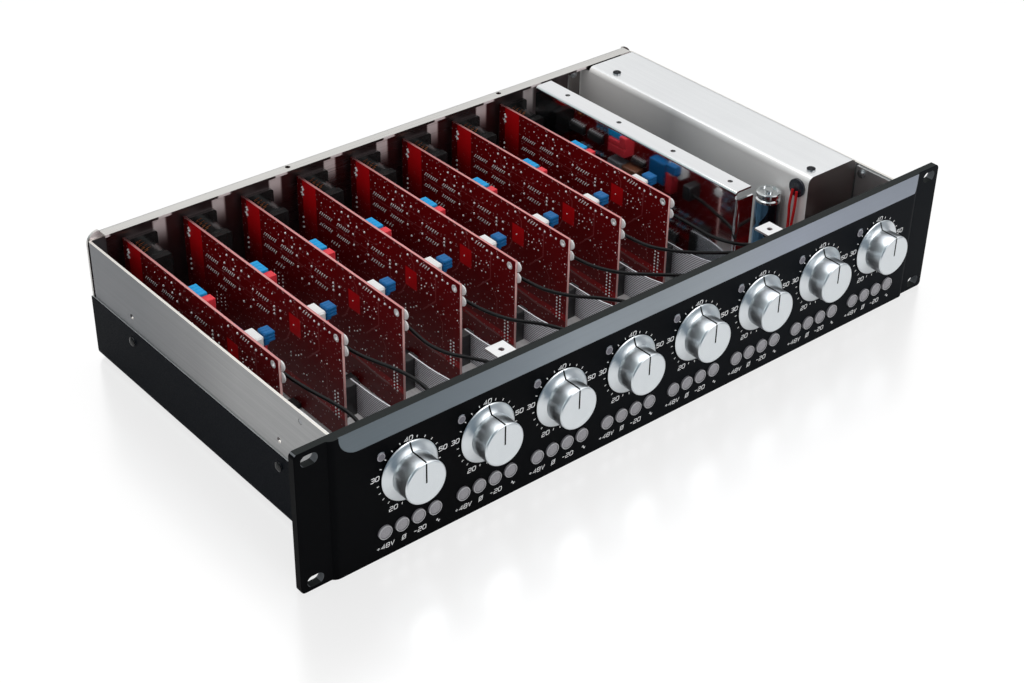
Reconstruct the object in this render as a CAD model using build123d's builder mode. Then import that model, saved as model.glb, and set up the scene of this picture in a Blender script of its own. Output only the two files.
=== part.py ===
from build123d import *
import math
import os

# Eight-channel microphone preamp for a 19 inch rack, two units high, with its top cover off.
# X runs along the front panel, Y runs from the rack ears (0) to the rear panel, Z is up and
# 0 at half height. All sizes are in millimetres.

os.makedirs("parts", exist_ok=True)

# ---------------------------------------------------------------- front panel
panel_width = 482.6
panel_height = 88.1
ear_thickness = 4.76
crest_height = 1.6            # the middle of the panel stands this far in front of the ears
crest_width = 436.0           # flat part of that raised middle
crest_ramp = 4.0              # each end of it rolls down to the ear over this length
ear_corner_radius = 2.8
panel_edge_break = 0.4
slot_spacing_x = 465.1        # rack slots, centre to centre
slot_spacing_z = 76.2
slot_width = 6.8
slot_length = 10.3
band_height = 12.55           # bare band along the top of the raised middle
band_depth = 0.9              # how far the band leans back at the top edge
band_left = -216.0
band_corner_radius = 11.5

# ---------------------------------------------------------------- controls
channel_count = 8
channel_pitch = 51.5
channel_row_centre = 6.55
knob_height = 5.25            # height of the knob axes
knob_diameter = 26.0
knob_skirt_diameter = 36.0
knob_skirt_thickness = 0.95
knob_cone_length = 3.0
knob_body_length = 10.4
knob_edge_break = 0.5
knob_gap = 0.5                # skirt to panel face
knob_recess_diameter = 17.0   # hollow that covers the bushing nut
knob_recess_depth = 4.5
knob_mark_width = 0.9         # groove that points to the scale
knob_mark_depth = 0.3
spindle_diameter = 6.3
spindle_fit = 0.05            # spindle to knob bore, all round
running_clearance = 0.3       # between pieces that move past each other, all round
bushing_diameter = 9.4
bushing_reach = 2.6           # bushing thread in front of the panel face
nut_across_flats = 12.0
nut_thickness = 2.0
button_diameter = 8.5
button_pitch = 10.84
button_height = -27.8         # height of the button row
button_proud = 1.0
button_crown = 0.55           # rise of the domed front
button_travel = 1.2
button_stem_diameter = 3.2
buttons_per_channel = 4
pill_width = 4.0              # status light
pill_length = 6.0
pill_offset_x = -17.3
pill_height = 21.0
piece_clearance = 0.15        # between fixed pieces that pass through each other

# ---------------------------------------------------------------- chassis
chassis_half_width = 213.9    # outer faces of the side rails
chassis_depth = 249.24        # rear panel's outer face
sheet = 1.6                   # rails and rear panel
thin_sheet = 1.2              # inner brackets
bend_radius = 1.2             # inside of a sheet bend
frame_half_height = 41.85     # where the two covers lie
rail_half_height = 37.55
rail_rear_flange = 11.0
cover_thickness = 1.0
cover_bend_radius = 4.0
cover_side_top = -0.35
cover_front_gap = 0.3
rear_flange_depth = 9.6       # from the outer face
rear_flange_half_width = 206.0
bracket_side_depth = 35.0
bracket_half_height = 36.3
tab_offset_x = 101.9
tab_width = 12.5
tab_depth = 13.6
screw_diameter = 3.0
screw_head_diameter = 5.6
screw_head_height = 1.9
screw_hole_clearance = 0.2
cover_screw_y = (51.9, 202.4)
cover_screw_drop = 8.3        # below and above half height
bracket_screw_y = 30.5
bracket_screw_height = 32.3
rear_screw_height = 25.0
top_hole_x = (-77.0, 91.0)    # cover holes in the rear panel's top flange

# ---------------------------------------------------------------- boards and wiring
board_thickness = 1.6
board_pitch = 40.9
first_board_x = -191.8        # solder face of the leftmost board
board_front = 82.5
board_back = 245.4
board_top = 33.55
board_bottom = -34.15
board_hole_diameter = 3.4
board_hole_inset = 5.0
board_rail_front = 89.0
board_rail_depth = 6.0
control_board_y = 12.0        # front face
control_board_half_width = 205.0
control_board_top = 28.0
control_board_bottom = -38.0
ribbon_width = 20.3
ribbon_thickness = 0.9
ribbon_height = -19.0         # middle of the ribbon
plug_length = 23.0
plug_depth = 6.6
plug_stack = 10.5             # board face to ribbon
plug_cap = 1.6
lead_diameter = 2.2
lead_socket_depth = 5.0       # sockets on the control board
lead_fit = 0.4                # end of a lead to its socket

# ---------------------------------------------------------------- rear connectors
jack_width = 20.5
jack_flange_height = 26.0
jack_flange_thickness = 2.5
jack_nose_diameter = 19.6
jack_body_diameter = 20.0
jack_body_length = 17.0
jack_tail_length = 5.5
jack_proud = 1.0
jack_offset_z = 17.0
jack_shell_bore = 16.4
jack_shell_depth = 12.0
contact_pin_diameter = 2.4
contact_circle_diameter = 8.4
inlet_x = 187.0
inlet_flange = (31.0, 36.0)
inlet_body = (27.2, 31.0)
inlet_flange_thickness = 3.0
inlet_depth = 25.0

# ---------------------------------------------------------------- power supply side
divider_x = 118.0
divider_front = 48.4
divider_back = 237.7
divider_flange = 13.3
divider_hole_offset = 7.4
divider_hole_first = 62.9
divider_hole_pitch = 50.33
supply_left = 166.0
supply_right = 209.5
supply_front = 35.0
supply_back = 238.0
supply_bend_radius = 3.0
supply_tab_width = 10.4
supply_screws = ((174.4, 218.9), (175.9, 42.5))
supply_bolt_height = 35.5
grommet_y = 43.0
grommet_height = 32.5
grommet_diameter = 12.0
grommet_wall_hole = 9.0
wire_diameter = 1.8           # red supply wires
can_diameter = 16.0
can_x = 156.5
can_y = 58.0
can_top = 27.0

# ---------------------------------------------------------------- worked out from those
panel_face = -(ear_thickness + crest_height)
panel_top = panel_height / 2
crest_half = crest_width / 2
crest_foot = crest_half + crest_ramp
rail_inside = chassis_half_width - sheet
rear_inside = chassis_depth - sheet
board_row = [first_board_x + i * board_pitch for i in range(channel_count)]
knob_rear = panel_face - knob_gap
knob_front = knob_rear - knob_skirt_thickness - knob_cone_length - knob_body_length
cover_floor = -frame_half_height
screw_hole_radius = screw_diameter / 2 + screw_hole_clearance
front_stack = ear_thickness + crest_height + control_board_y
supply_bolt_x = supply_left - supply_tab_width + screw_head_diameter / 2 + 1


def channel_x(channel):
    """Axis of a channel's knob."""
    return channel_row_centre + (channel - (channel_count - 1) / 2) * channel_pitch


def button_x(channel, place):
    """Axis of one button; the row is centred under the knob."""
    return channel_x(channel) + (place - (buttons_per_channel - 1) / 2) * button_pitch


def front_plane(y):
    """Plane seen from the front: sketch X is +X, sketch Y is +Z, extrusion goes forward."""
    return Plane.XZ.offset(-y)


def save(part, name):
    """Label a finished piece and write its STEP file."""
    part.label = name
    export_step(part, f"parts/{name}.step")
    print(f"{name}: {len(part.solids())} solids")


def block(x0, x1, y0, y1, z0, z1, mode=Mode.ADD):
    """Rectangular block between opposite corners, for the open BuildPart."""
    with BuildSketch(Plane.XY.offset(z0)) as footprint:
        with Locations(((x0 + x1) / 2, (y0 + y1) / 2)):
            Rectangle(x1 - x0, y1 - y0)
    extrude(footprint.sketch, amount=z1 - z0, mode=mode)


def control_openings(growth):
    """Sketch of the openings for every channel's controls, wider than each piece by growth."""
    for channel in range(channel_count):
        with Locations((channel_x(channel), knob_height)):
            Circle(bushing_diameter / 2 + growth)
        for place in range(buttons_per_channel):
            with Locations((button_x(channel, place), button_height)):
                Circle(button_diameter / 2 + running_clearance + growth - piece_clearance)
        with Locations((channel_x(channel) + pill_offset_x, pill_height)):
            SlotOverall(pill_length + 2 * growth, pill_width + 2 * growth, rotation=90)


# ================================================================ front panel
# Machined plate: its plan is drawn once, flat at the back, with a raised middle whose ends
# roll down to the ears, and is extruded over the full height.
ramp_radius = (crest_ramp ** 2 + crest_height ** 2) / (2 * crest_height)
ramp_mid_angle = math.asin(crest_ramp / ramp_radius) / 2
ramp_mid_x = crest_half + ramp_radius * math.sin(ramp_mid_angle)
ramp_mid_y = panel_face + ramp_radius * (1 - math.cos(ramp_mid_angle))
band_plane = Plane(
    origin=(0, panel_face, panel_top - band_height),
    x_dir=(1, 0, 0),
    z_dir=(0, -band_height, band_depth),
)
band_slant = math.hypot(band_height, band_depth)

with BuildPart() as front_panel:
    with BuildSketch(Plane.XY.offset(-panel_top)):
        with BuildLine():
            Polyline((-crest_foot, -ear_thickness), (-panel_width / 2, -ear_thickness),
                     (-panel_width / 2, 0), (panel_width / 2, 0),
                     (panel_width / 2, -ear_thickness), (crest_foot, -ear_thickness))
            ThreePointArc((crest_foot, -ear_thickness), (ramp_mid_x, ramp_mid_y),
                          (crest_half, panel_face))
            Line((crest_half, panel_face), (-crest_half, panel_face))
            ThreePointArc((-crest_half, panel_face), (-ramp_mid_x, ramp_mid_y),
                          (-crest_foot, -ear_thickness))
        make_face()
    extrude(amount=panel_height)
    fillet(front_panel.edges().filter_by(Axis.Y), radius=ear_corner_radius)
    ear_front_edges = front_panel.faces().filter_by(Axis.Y).group_by(Axis.Y)[1].edges()
    ear_outline = ear_front_edges.filter_by(
        lambda edge: abs(edge.center().X) > crest_foot + panel_edge_break)
    chamfer(ear_outline, length=panel_edge_break)
    # the bare band is a shallow slanted cut with one round corner, open at the right and top
    with BuildSketch(band_plane):
        with BuildLine():
            Line((band_left + band_corner_radius, 0), (crest_foot + 1, 0))
            Line((crest_foot + 1, 0), (crest_foot + 1, band_slant + 1))
            Line((crest_foot + 1, band_slant + 1), (band_left, band_slant + 1))
            Line((band_left, band_slant + 1), (band_left, band_corner_radius))
            RadiusArc((band_left, band_corner_radius), (band_left + band_corner_radius, 0),
                      -band_corner_radius)
        make_face()
    extrude(amount=2 * crest_height, mode=Mode.SUBTRACT)
    with BuildSketch(front_plane(1)):
        with GridLocations(slot_spacing_x, slot_spacing_z, 2, 2):
            SlotOverall(slot_length, slot_width)
        control_openings(piece_clearance)
    extrude(amount=front_stack, mode=Mode.SUBTRACT)
save(front_panel.part, "front_panel")

# ================================================================ front bracket
# Sub-panel behind the front panel: a plate with two side flanges that carry the rails, and
# four tabs, folded back at the top and bottom, for the covers' screws.
with BuildPart() as front_bracket:
    with BuildSketch(Plane.XY.offset(-bracket_half_height)):
        with BuildLine():
            FilletPolyline((-rail_inside, bracket_side_depth), (-rail_inside, 0),
                           (rail_inside, 0), (rail_inside, bracket_side_depth),
                           radius=bend_radius + thin_sheet)
            offset(amount=thin_sheet, side=Side.LEFT)
        make_face()
    extrude(amount=2 * bracket_half_height)
    for side in (-1, 1):
        for up in (-1, 1):
            with BuildSketch(Plane.YZ.offset(side * tab_offset_x - tab_width / 2)):
                with BuildLine():
                    FilletPolyline((0, 0), (0, up * frame_half_height),
                                   (tab_depth, up * frame_half_height),
                                   radius=bend_radius + thin_sheet)
                    offset(amount=thin_sheet, side=Side.RIGHT if up > 0 else Side.LEFT)
                make_face()
            extrude(amount=tab_width)
            with BuildSketch(Plane.XY.offset(up * frame_half_height)):
                with Locations((side * tab_offset_x, (tab_depth + thin_sheet) / 2)):
                    Circle(screw_hole_radius)
            extrude(amount=-up * 2 * thin_sheet, mode=Mode.SUBTRACT)
    with BuildSketch(front_plane(thin_sheet + bend_radius)):
        control_openings(2 * piece_clearance)
    extrude(amount=2 * (thin_sheet + bend_radius), mode=Mode.SUBTRACT)
    with BuildSketch(Plane.YZ.offset(-rail_inside)):
        for height in (-bracket_screw_height, bracket_screw_height):
            with Locations((bracket_screw_y, height)):
                Circle(screw_hole_radius)
    extrude(amount=2 * rail_inside, mode=Mode.SUBTRACT)
save(front_bracket.part, "front_bracket")

# ================================================================ side rails
# Two bent aluminium plates; a short flange at the rear end is screwed to the rear panel.
with BuildPart() as right_rail:
    with BuildSketch(Plane.XY.offset(-rail_half_height)):
        with BuildLine():
            FilletPolyline((chassis_half_width, 0), (chassis_half_width, rear_inside),
                           (chassis_half_width - rail_rear_flange, rear_inside),
                           radius=bend_radius + sheet)
            offset(amount=sheet, side=Side.LEFT)
        make_face()
    extrude(amount=2 * rail_half_height)
    with BuildSketch(Plane.YZ.offset(rail_inside - 1)):
        for hole_y in cover_screw_y:
            for height in (-cover_screw_drop, cover_screw_drop):
                with Locations((hole_y, height)):
                    Circle(screw_hole_radius)
        for height in (-bracket_screw_height, bracket_screw_height):
            with Locations((bracket_screw_y, height)):
                Circle(screw_hole_radius)
    extrude(amount=sheet + 2, mode=Mode.SUBTRACT)
    with BuildSketch(front_plane(rear_inside)):
        for height in (-rear_screw_height, rear_screw_height):
            with Locations((chassis_half_width - rail_rear_flange / 2 - sheet / 2, height)):
                Circle(screw_hole_radius)
    extrude(amount=sheet, mode=Mode.SUBTRACT)

with BuildPart() as side_rails:
    add(right_rail.part)
    mirror(right_rail.part, about=Plane.YZ)
save(side_rails.part, "side_rails")

# ================================================================ rear panel
# Channel section with rolled edges, and flat ends with rounded corners that close the rails.
rear_end_radius = chassis_half_width - rear_flange_half_width

with BuildPart() as rear_panel:
    with BuildSketch(Plane.YZ.offset(-rear_flange_half_width)):
        with BuildLine():
            FilletPolyline((chassis_depth - rear_flange_depth, -frame_half_height),
                           (chassis_depth, -frame_half_height),
                           (chassis_depth, frame_half_height),
                           (chassis_depth - rear_flange_depth, frame_half_height),
                           radius=bend_radius + sheet)
            offset(amount=sheet, side=Side.LEFT)
        make_face()
    extrude(amount=2 * rear_flange_half_width)
    for side in (-1, 1):
        with BuildSketch(front_plane(chassis_depth)):
            with Locations((side * (rear_flange_half_width - rear_end_radius), 0)):
                RectangleRounded(4 * rear_end_radius, 2 * frame_half_height, rear_end_radius)
            with Locations((side * (rear_flange_half_width - 2 * rear_end_radius), 0)):
                Rectangle(4 * rear_end_radius, 2 * frame_half_height + 2, mode=Mode.SUBTRACT)
        extrude(amount=sheet)
    with BuildSketch(front_plane(chassis_depth + 1)):
        for board_x in board_row:
            for height in (-jack_offset_z, jack_offset_z):
                with Locations((board_x + board_thickness + jack_width / 2, height)):
                    Circle(jack_nose_diameter / 2 + piece_clearance)
        with Locations((inlet_x, 0)):
            Rectangle(inlet_body[0] + 2 * piece_clearance, inlet_body[1] + 2 * piece_clearance)
        for side in (-1, 1):
            for height in (-rear_screw_height, rear_screw_height):
                with Locations((side * (chassis_half_width - rail_rear_flange / 2 - sheet / 2),
                                height)):
                    Circle(screw_hole_radius)
        with Locations((supply_bolt_x, supply_bolt_height)):
            Circle(screw_hole_radius)
    extrude(amount=sheet + 2, mode=Mode.SUBTRACT)
    with BuildSketch(Plane.XY.offset(frame_half_height)):
        for hole_x in top_hole_x:
            with Locations((hole_x, chassis_depth - rear_flange_depth / 2)):
                Circle(screw_hole_radius)
    extrude(amount=-2 * sheet, mode=Mode.SUBTRACT)
save(rear_panel.part, "rear_panel")

# ================================================================ bottom cover
# U-shaped tray of thin painted sheet, its sides half as high as the chassis.
cover_outer = chassis_half_width + cover_thickness
cover_bottom = cover_floor - cover_thickness

with BuildPart() as bottom_cover:
    with BuildSketch(front_plane(cover_front_gap)):
        with BuildLine():
            FilletPolyline((-cover_outer, cover_side_top), (-cover_outer, cover_bottom),
                           (cover_outer, cover_bottom), (cover_outer, cover_side_top),
                           radius=cover_bend_radius + cover_thickness)
            offset(amount=cover_thickness, side=Side.LEFT)
        make_face()
    extrude(amount=-(chassis_depth - cover_front_gap))
    with BuildSketch(Plane.YZ.offset(-cover_outer)):
        for hole_y in cover_screw_y:
            with Locations((hole_y, -cover_screw_drop)):
                Circle(screw_hole_radius)
    extrude(amount=2 * cover_outer, mode=Mode.SUBTRACT)
save(bottom_cover.part, "bottom_cover")

# ================================================================ control board and switches
with BuildPart() as control_board:
    block(-control_board_half_width, control_board_half_width,
          control_board_y, control_board_y + board_thickness,
          control_board_bottom, control_board_top)
save(control_board.part, "control_board")

# Rotary switch: round body between the bracket and the board, threaded bushing through the
# panel with its nut, and a bore in which the knob's spindle turns.
rotary_body_diameter = 27.0
spindle_bore = spindle_diameter + 2 * running_clearance
spindle_rear = control_board_y - 3.0
spindle_front = knob_front + 2.0
push_body_width = 9.0
push_body_front = thin_sheet + 3.0
cap_rear = push_body_front - button_travel - running_clearance - 0.9
stem_rear = cap_rear + 3.6

with BuildPart() as rotary_switch:
    with BuildSketch(front_plane(control_board_y)):
        Circle(rotary_body_diameter / 2)
    extrude(amount=control_board_y - thin_sheet)
    with BuildSketch(front_plane(thin_sheet)):
        Circle(bushing_diameter / 2)
    extrude(amount=thin_sheet - panel_face + bushing_reach)
    with BuildSketch(front_plane(spindle_rear + running_clearance)):
        Circle(spindle_bore / 2)
    extrude(amount=front_stack + bushing_reach, mode=Mode.SUBTRACT)

with BuildPart() as bushing_nut:
    with BuildSketch(front_plane(panel_face)):
        RegularPolygon(nut_across_flats / 2, 6, major_radius=False)
        Circle(bushing_diameter / 2 + spindle_fit, mode=Mode.SUBTRACT)
    extrude(amount=nut_thickness)

with BuildPart() as push_switch:
    with BuildSketch(front_plane(control_board_y)):
        Rectangle(push_body_width, push_body_width)
    extrude(amount=control_board_y - push_body_front)
    with BuildSketch(front_plane(stem_rear + button_travel + running_clearance)):
        Circle(button_stem_diameter / 2 + running_clearance)
    extrude(amount=stem_rear + button_travel + running_clearance - push_body_front,
            mode=Mode.SUBTRACT)

with BuildPart() as panel_switches:
    for channel in range(channel_count):
        with Locations((channel_x(channel), 0, knob_height)):
            add(rotary_switch.part)
            add(bushing_nut.part)
        for place in range(buttons_per_channel):
            with Locations((button_x(channel, place), 0, button_height)):
                add(push_switch.part)
save(panel_switches.part, "panel_switches")

# ================================================================ status lights
# Light pipes: each stands on the control board and ends flush in the panel.
with BuildPart() as indicator_lenses:
    with BuildSketch(front_plane(control_board_y)):
        for channel in range(channel_count):
            with Locations((channel_x(channel) + pill_offset_x, pill_height)):
                SlotOverall(pill_length, pill_width, rotation=90)
    extrude(amount=control_board_y - panel_face)
save(indicator_lenses.part, "indicator_lenses")

# ================================================================ knobs
# Turned in one piece: a thin skirt, a hollow-ground cone and a plain grip, with a groove
# across the face and down the grip that points to the scale.
cone_rear = knob_rear - knob_skirt_thickness
cone_front = cone_rear - knob_cone_length
grip_radius = knob_diameter / 2
skirt_radius = knob_skirt_diameter / 2
recess_radius = knob_recess_diameter / 2
recess_front = knob_rear - knob_recess_depth
bore_radius = spindle_diameter / 2 + spindle_fit
cone_sag = 0.22               # hollow of the cone as a share of its height
cone_mid = ((skirt_radius + grip_radius) / 2 - cone_sag * knob_cone_length,
            (cone_rear + cone_front) / 2 + cone_sag * knob_cone_length)
spindle_axis = Axis((0, 0, 0), (0, 1, 0))

with BuildPart() as knob_form:
    with BuildSketch(Plane.XY):
        with BuildLine():
            Polyline((0, spindle_front - spindle_fit), (bore_radius, spindle_front - spindle_fit),
                     (bore_radius, recess_front), (recess_radius, recess_front),
                     (recess_radius, knob_rear), (skirt_radius, knob_rear),
                     (skirt_radius, cone_rear))
            ThreePointArc((skirt_radius, cone_rear), cone_mid, (grip_radius, cone_front))
            Polyline((grip_radius, cone_front), (grip_radius, knob_front + knob_edge_break),
                     (grip_radius - knob_edge_break, knob_front), (0, knob_front),
                     (0, spindle_front - spindle_fit))
        make_face()
    revolve(axis=spindle_axis)
    mark_front = knob_front - 1
    block(-knob_mark_width / 2, knob_mark_width / 2, mark_front,
          knob_front + knob_mark_depth, 0, grip_radius, Mode.SUBTRACT)
    block(-knob_mark_width / 2, knob_mark_width / 2, mark_front, cone_front,
          grip_radius - knob_mark_depth, grip_radius + 1, Mode.SUBTRACT)

with BuildPart() as spindle_form:
    with BuildSketch(front_plane(spindle_rear)):
        Circle(spindle_diameter / 2)
    extrude(amount=spindle_rear - spindle_front)

for channel in range(channel_count):
    with BuildPart() as knob:
        with Locations((channel_x(channel), 0, knob_height)):
            add(knob_form.part)
            add(spindle_form.part)
    save(knob.part, f"knob_{channel + 1}")

# ================================================================ buttons
# Round domed cap with a stem that reaches into its switch.
button_front = panel_face - button_proud

with BuildPart() as button_form:
    with BuildSketch(Plane.XY):
        with BuildLine():
            Polyline((button_diameter / 2, button_front + button_crown),
                     (button_diameter / 2, cap_rear), (button_stem_diameter / 2, cap_rear),
                     (button_stem_diameter / 2, stem_rear), (0, stem_rear), (0, button_front))
            TangentArc((0, button_front), (button_diameter / 2, button_front + button_crown),
                       tangent=(1, 0))
        make_face()
    revolve(axis=spindle_axis)

for channel in range(channel_count):
    for place in range(buttons_per_channel):
        with BuildPart() as button:
            with Locations((button_x(channel, place), 0, button_height)):
                add(button_form.part)
        save(button.part, f"button_{channel + 1}_{'abcd'[place]}")

# ================================================================ channel boards
with BuildPart() as channel_board:
    with BuildSketch(Plane.YZ):
        with Locations(((board_front + board_back) / 2, (board_top + board_bottom) / 2)):
            Rectangle(board_back - board_front, board_top - board_bottom)
        with Locations((board_front + board_hole_inset, board_top - board_hole_inset)):
            Circle(board_hole_diameter / 2, mode=Mode.SUBTRACT)
    extrude(amount=board_thickness)

with BuildPart() as channel_boards:
    for board_x in board_row:
        with Locations((board_x, 0, 0)):
            add(channel_board.part)
save(channel_boards.part, "channel_boards")

# Cross bar on the cover's floor, under the boards.
with BuildPart() as board_rail:
    block(-rail_inside + cover_bend_radius, divider_x - sheet, board_rail_front,
          board_rail_front + board_rail_depth, cover_floor, board_bottom)
save(board_rail.part, "board_rail")

# ================================================================ components of one board
# Drawn with X from the board's component face; the set is repeated on every board.


def ribbed_box(depth, y0, y1, z0, z1, ribs, groove):
    """Moulded component case with upright ribs on its outer face."""
    block(0, depth, y0, y1, z0, z1)
    pitch = (y1 - y0) / ribs
    for rib in range(1, ribs):
        centre = y0 + rib * pitch
        block(depth - groove, depth + groove, centre - pitch / 6, centre + pitch / 6,
              z0 - 1, z1 + 1, Mode.SUBTRACT)


def upright_can(radius, height, y, z):
    """Round component that stands off the board, with a rounded rim."""
    with BuildSketch(Plane.YZ) as base:
        with Locations((y, z)):
            Circle(radius)
    extrude(base.sketch, amount=height)


with BuildPart() as board_set:
    ribbed_box(7.0, 168.5, 178.7, 19.5, 30.0, 5, 0.5)      # light blue trimmer bank
    ribbed_box(8.0, 157.0, 166.8, 16.5, 26.0, 4, 0.5)      # red relay
    block(0, 7.5, 111.5, 120.0, 19.0, 30.0)                # white pin header
    block(8.0, 15.7, 107.5, 118.5, 20.5, 31.0)             # blue plug
    for pin in range(3):
        block(7.5, 8.0, 112.3 + 2.54 * pin, 113.3 + 2.54 * pin, 23.0, 24.0)
    block(0, 8.5, 152.0, 179.5, -2.0, 13.0)                # large film capacitors
    block(0, 7.0, 129.5, 142.0, 8.0, 29.0)
    block(0, 6.0, 122.5, 127.5, 4.0, 22.0)
    for row in range(4):
        upright_can(4.0, 11.5, 206.0 - 13.0 * row, -24.0)
        upright_can(3.15, 8.0, 206.0 - 13.0 * row, -12.5)
    upright_can(5.0, 7.0, 214.0, 26.0)
    for row in range(3):
        block(0, 3.2, 128.0 + 16.0 * row, 138.0 + 16.0 * row, -30.5, -24.5)
    block(0, 10.0, 100.0 + lead_fit, 107.0, 9.0, 19.0)     # socket of the signal lead
    for height in (18.0, 26.0):                            # round standoffs past the edge
        with BuildSketch(Plane.YZ):
            with Locations((board_front - 0.4, height)):
                Circle(3.5)
        extrude(amount=6.0)

with BuildPart() as ribbon_header:
    plug_back = board_front + 12.7
    header_front = plug_back - plug_depth
    block(0, 3.0, header_front - 1.0, plug_back + 1.0,
          ribbon_height - plug_length / 2, ribbon_height + plug_length / 2)
    block(3.0, plug_stack, header_front, plug_back,
          ribbon_height - plug_length / 2 + 1, ribbon_height + plug_length / 2 - 1)
    block(plug_stack + ribbon_thickness, plug_stack + ribbon_thickness + plug_cap,
          header_front, plug_back,
          ribbon_height - plug_length / 2 + 1, ribbon_height + plug_length / 2 - 1)

# ================================================================ ribbon cables
# Flat cable from each board's header forward to the control board, drawn in plan and
# extruded over its width, with the plug that it ends in.


def smooth_radii(points):
    """For each inner point of a route, the largest arc that its two runs allow."""
    radii = []
    for before, point, after in zip(points, points[1:], points[2:]):
        run_in = Vector(*point) - Vector(*before)
        run_out = Vector(*after) - Vector(*point)
        half_turn = math.radians(run_in.get_angle(run_out)) / 2
        radii.append(0.45 * min(run_in.length, run_out.length) / math.tan(half_turn))
    return radii


control_board_rear = control_board_y + board_thickness
ribbon_landing = control_board_rear + plug_stack      # front face of the ribbon on its plug
ribbon_bottom = ribbon_height - ribbon_width / 2
ribbon_landing_run = 18.0                             # along the control board
smallest_ribbon_radius = math.inf



def ribbon_end_x(channel):
    """Where a ribbon meets the control board: it drifts a little more on each channel."""
    return board_row[channel] + board_thickness + plug_stack + 2.0 + 1.0 * channel


with BuildPart() as ribbon_cables:
    for channel, board_x in enumerate(board_row):
        start_x = board_x + board_thickness + plug_stack
        end_x = ribbon_end_x(channel)
        route = [(start_x, plug_back), (start_x, plug_back - 23.0), (end_x, 46.0),
                 (end_x, ribbon_landing), (end_x + ribbon_landing_run, ribbon_landing)]
        radii = smooth_radii(route)
        smallest_ribbon_radius = min(smallest_ribbon_radius, *radii)
        with BuildSketch(Plane.XY.offset(ribbon_bottom)):
            with BuildLine():
                FilletPolyline(*route, radius=radii)
                offset(amount=ribbon_thickness, side=Side.LEFT)
            make_face()
        extrude(amount=ribbon_width)
print(f"ribbon cables: smallest radius {smallest_ribbon_radius:.1f}")
save(ribbon_cables.part, "ribbon_cables")

with BuildPart() as board_components:
    for channel, board_x in enumerate(board_row):
        with Locations((board_x + board_thickness, 0, 0)):
            add(board_set.part)
            add(ribbon_header.part)
    # sockets on the rear of the control board
    for channel, board_x in enumerate(board_row):
        plug_x = ribbon_end_x(channel) + ribbon_landing_run - plug_depth - plug_cap
        half = plug_length / 2
        block(plug_x, plug_x + plug_depth, control_board_rear, ribbon_landing,
              ribbon_height - half, ribbon_height + half)
        block(plug_x, plug_x + plug_depth, ribbon_landing + ribbon_thickness,
              ribbon_landing + ribbon_thickness + plug_cap,
              ribbon_height - half + 1, ribbon_height + half - 1)
        block(channel_x(channel) - 4, channel_x(channel) + 4, control_board_rear,
              control_board_rear + lead_socket_depth, 0.0, 6.0)
save(board_components.part, "board_components")

# ================================================================ leads
# Thin black signal leads from a plug on each board to the control board, and two red supply
# wires. Points are (distance from the board's component face, Y, Z).
lead_routes = [
    [(8.0, 100.0, 14.0), (8.4, 87.5, 13.5), (11.5, 74.0, 12.0), (15.5, 61.0, 10.5),
     (18.5, 47.5, 9.0), (18.0, 33.5, 6.0), (16.5, 18.9, 3.0)],
    [(8.0, 100.0, 14.0), (9.0, 87.5, 13.5), (13.5, 75.0, 12.5), (19.5, 63.5, 11.0),
     (24.0, 50.0, 9.0), (24.5, 35.0, 6.0), (27.1, 18.9, 3.0)],
    [(8.0, 100.0, 14.0), (7.6, 87.0, 12.0), (8.8, 73.5, 9.0), (13.8, 61.5, 7.0),
     (22.5, 51.5, 6.0), (32.5, 37.5, 4.5), (37.7, 18.9, 3.0)],
    [(8.0, 100.0, 14.0), (8.6, 88.0, 13.5), (13.0, 75.0, 11.5), (20.5, 63.0, 9.5),
     (33.0, 52.0, 8.0), (43.5, 38.0, 5.5), (48.3, 18.9, 3.0)],
    [(8.0, 100.0, 14.0), (8.8, 88.0, 13.5), (13.0, 75.0, 11.5), (22.0, 63.0, 9.5),
     (36.5, 52.0, 8.0), (51.5, 38.5, 5.5), (58.9, 18.9, 3.0)],
    [(8.0, 100.0, 14.0), (8.5, 87.5, 13.0), (13.5, 74.5, 11.0), (24.0, 62.0, 9.0),
     (40.0, 51.0, 7.5), (57.0, 40.5, 5.5), (67.0, 29.5, 4.0), (69.5, 18.9, 3.0)],
    [(8.0, 100.0, 14.0), (9.0, 87.0, 13.5), (14.0, 73.5, 11.0), (26.0, 60.5, 9.0),
     (44.0, 48.5, 7.0), (62.5, 38.5, 5.5), (77.0, 29.5, 4.0), (80.1, 18.9, 3.0)],
    [(8.0, 100.0, 14.0), (8.8, 88.0, 13.5), (11.0, 74.0, 12.0), (13.0, 59.0, 10.0),
     (20.5, 44.5, 8.5), (36.0, 35.5, 7.0), (54.5, 31.5, 5.5), (71.0, 30.5, 4.5),
     (81.5, 28.5, 4.0), (88.0, 25.8, 3.5), (90.7, 19.0, 3.0)],
]
wire_routes = [
    [(163.2, 44.6, 31.5), (161.6, 44.8, 22.0), (161.9, 44.2, 10.0), (160.2, 43.2, -4.0),
     (158.6, 44.2, -18.0), (156.6, 44.6, -30.0)],
    [(163.2, 41.4, 31.0), (162.4, 40.8, 20.5), (161.2, 41.2, 8.0), (160.6, 40.4, -6.0),
     (157.4, 40.8, -19.0), (156.4, 41.4, -30.0)],
]


def cord(points, diameter, name):
    """Round cord along straight runs joined by tangent arcs."""
    radii = smooth_radii(points)
    with BuildPart() as tube:
        with BuildLine() as route:
            FilletPolyline(*points, radius=radii)
        with BuildSketch(Plane(origin=route.line @ 0, z_dir=route.line % 0)):
            Circle(diameter / 2)
        sweep()
    length = route.wire().length
    expected = math.pi * diameter ** 2 / 4 * length
    print(f"{name}: length {length:.1f}, smallest radius {min(radii):.1f},"
          f" volume {tube.part.volume / expected:.4f} of section times length")
    return tube.part


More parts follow.
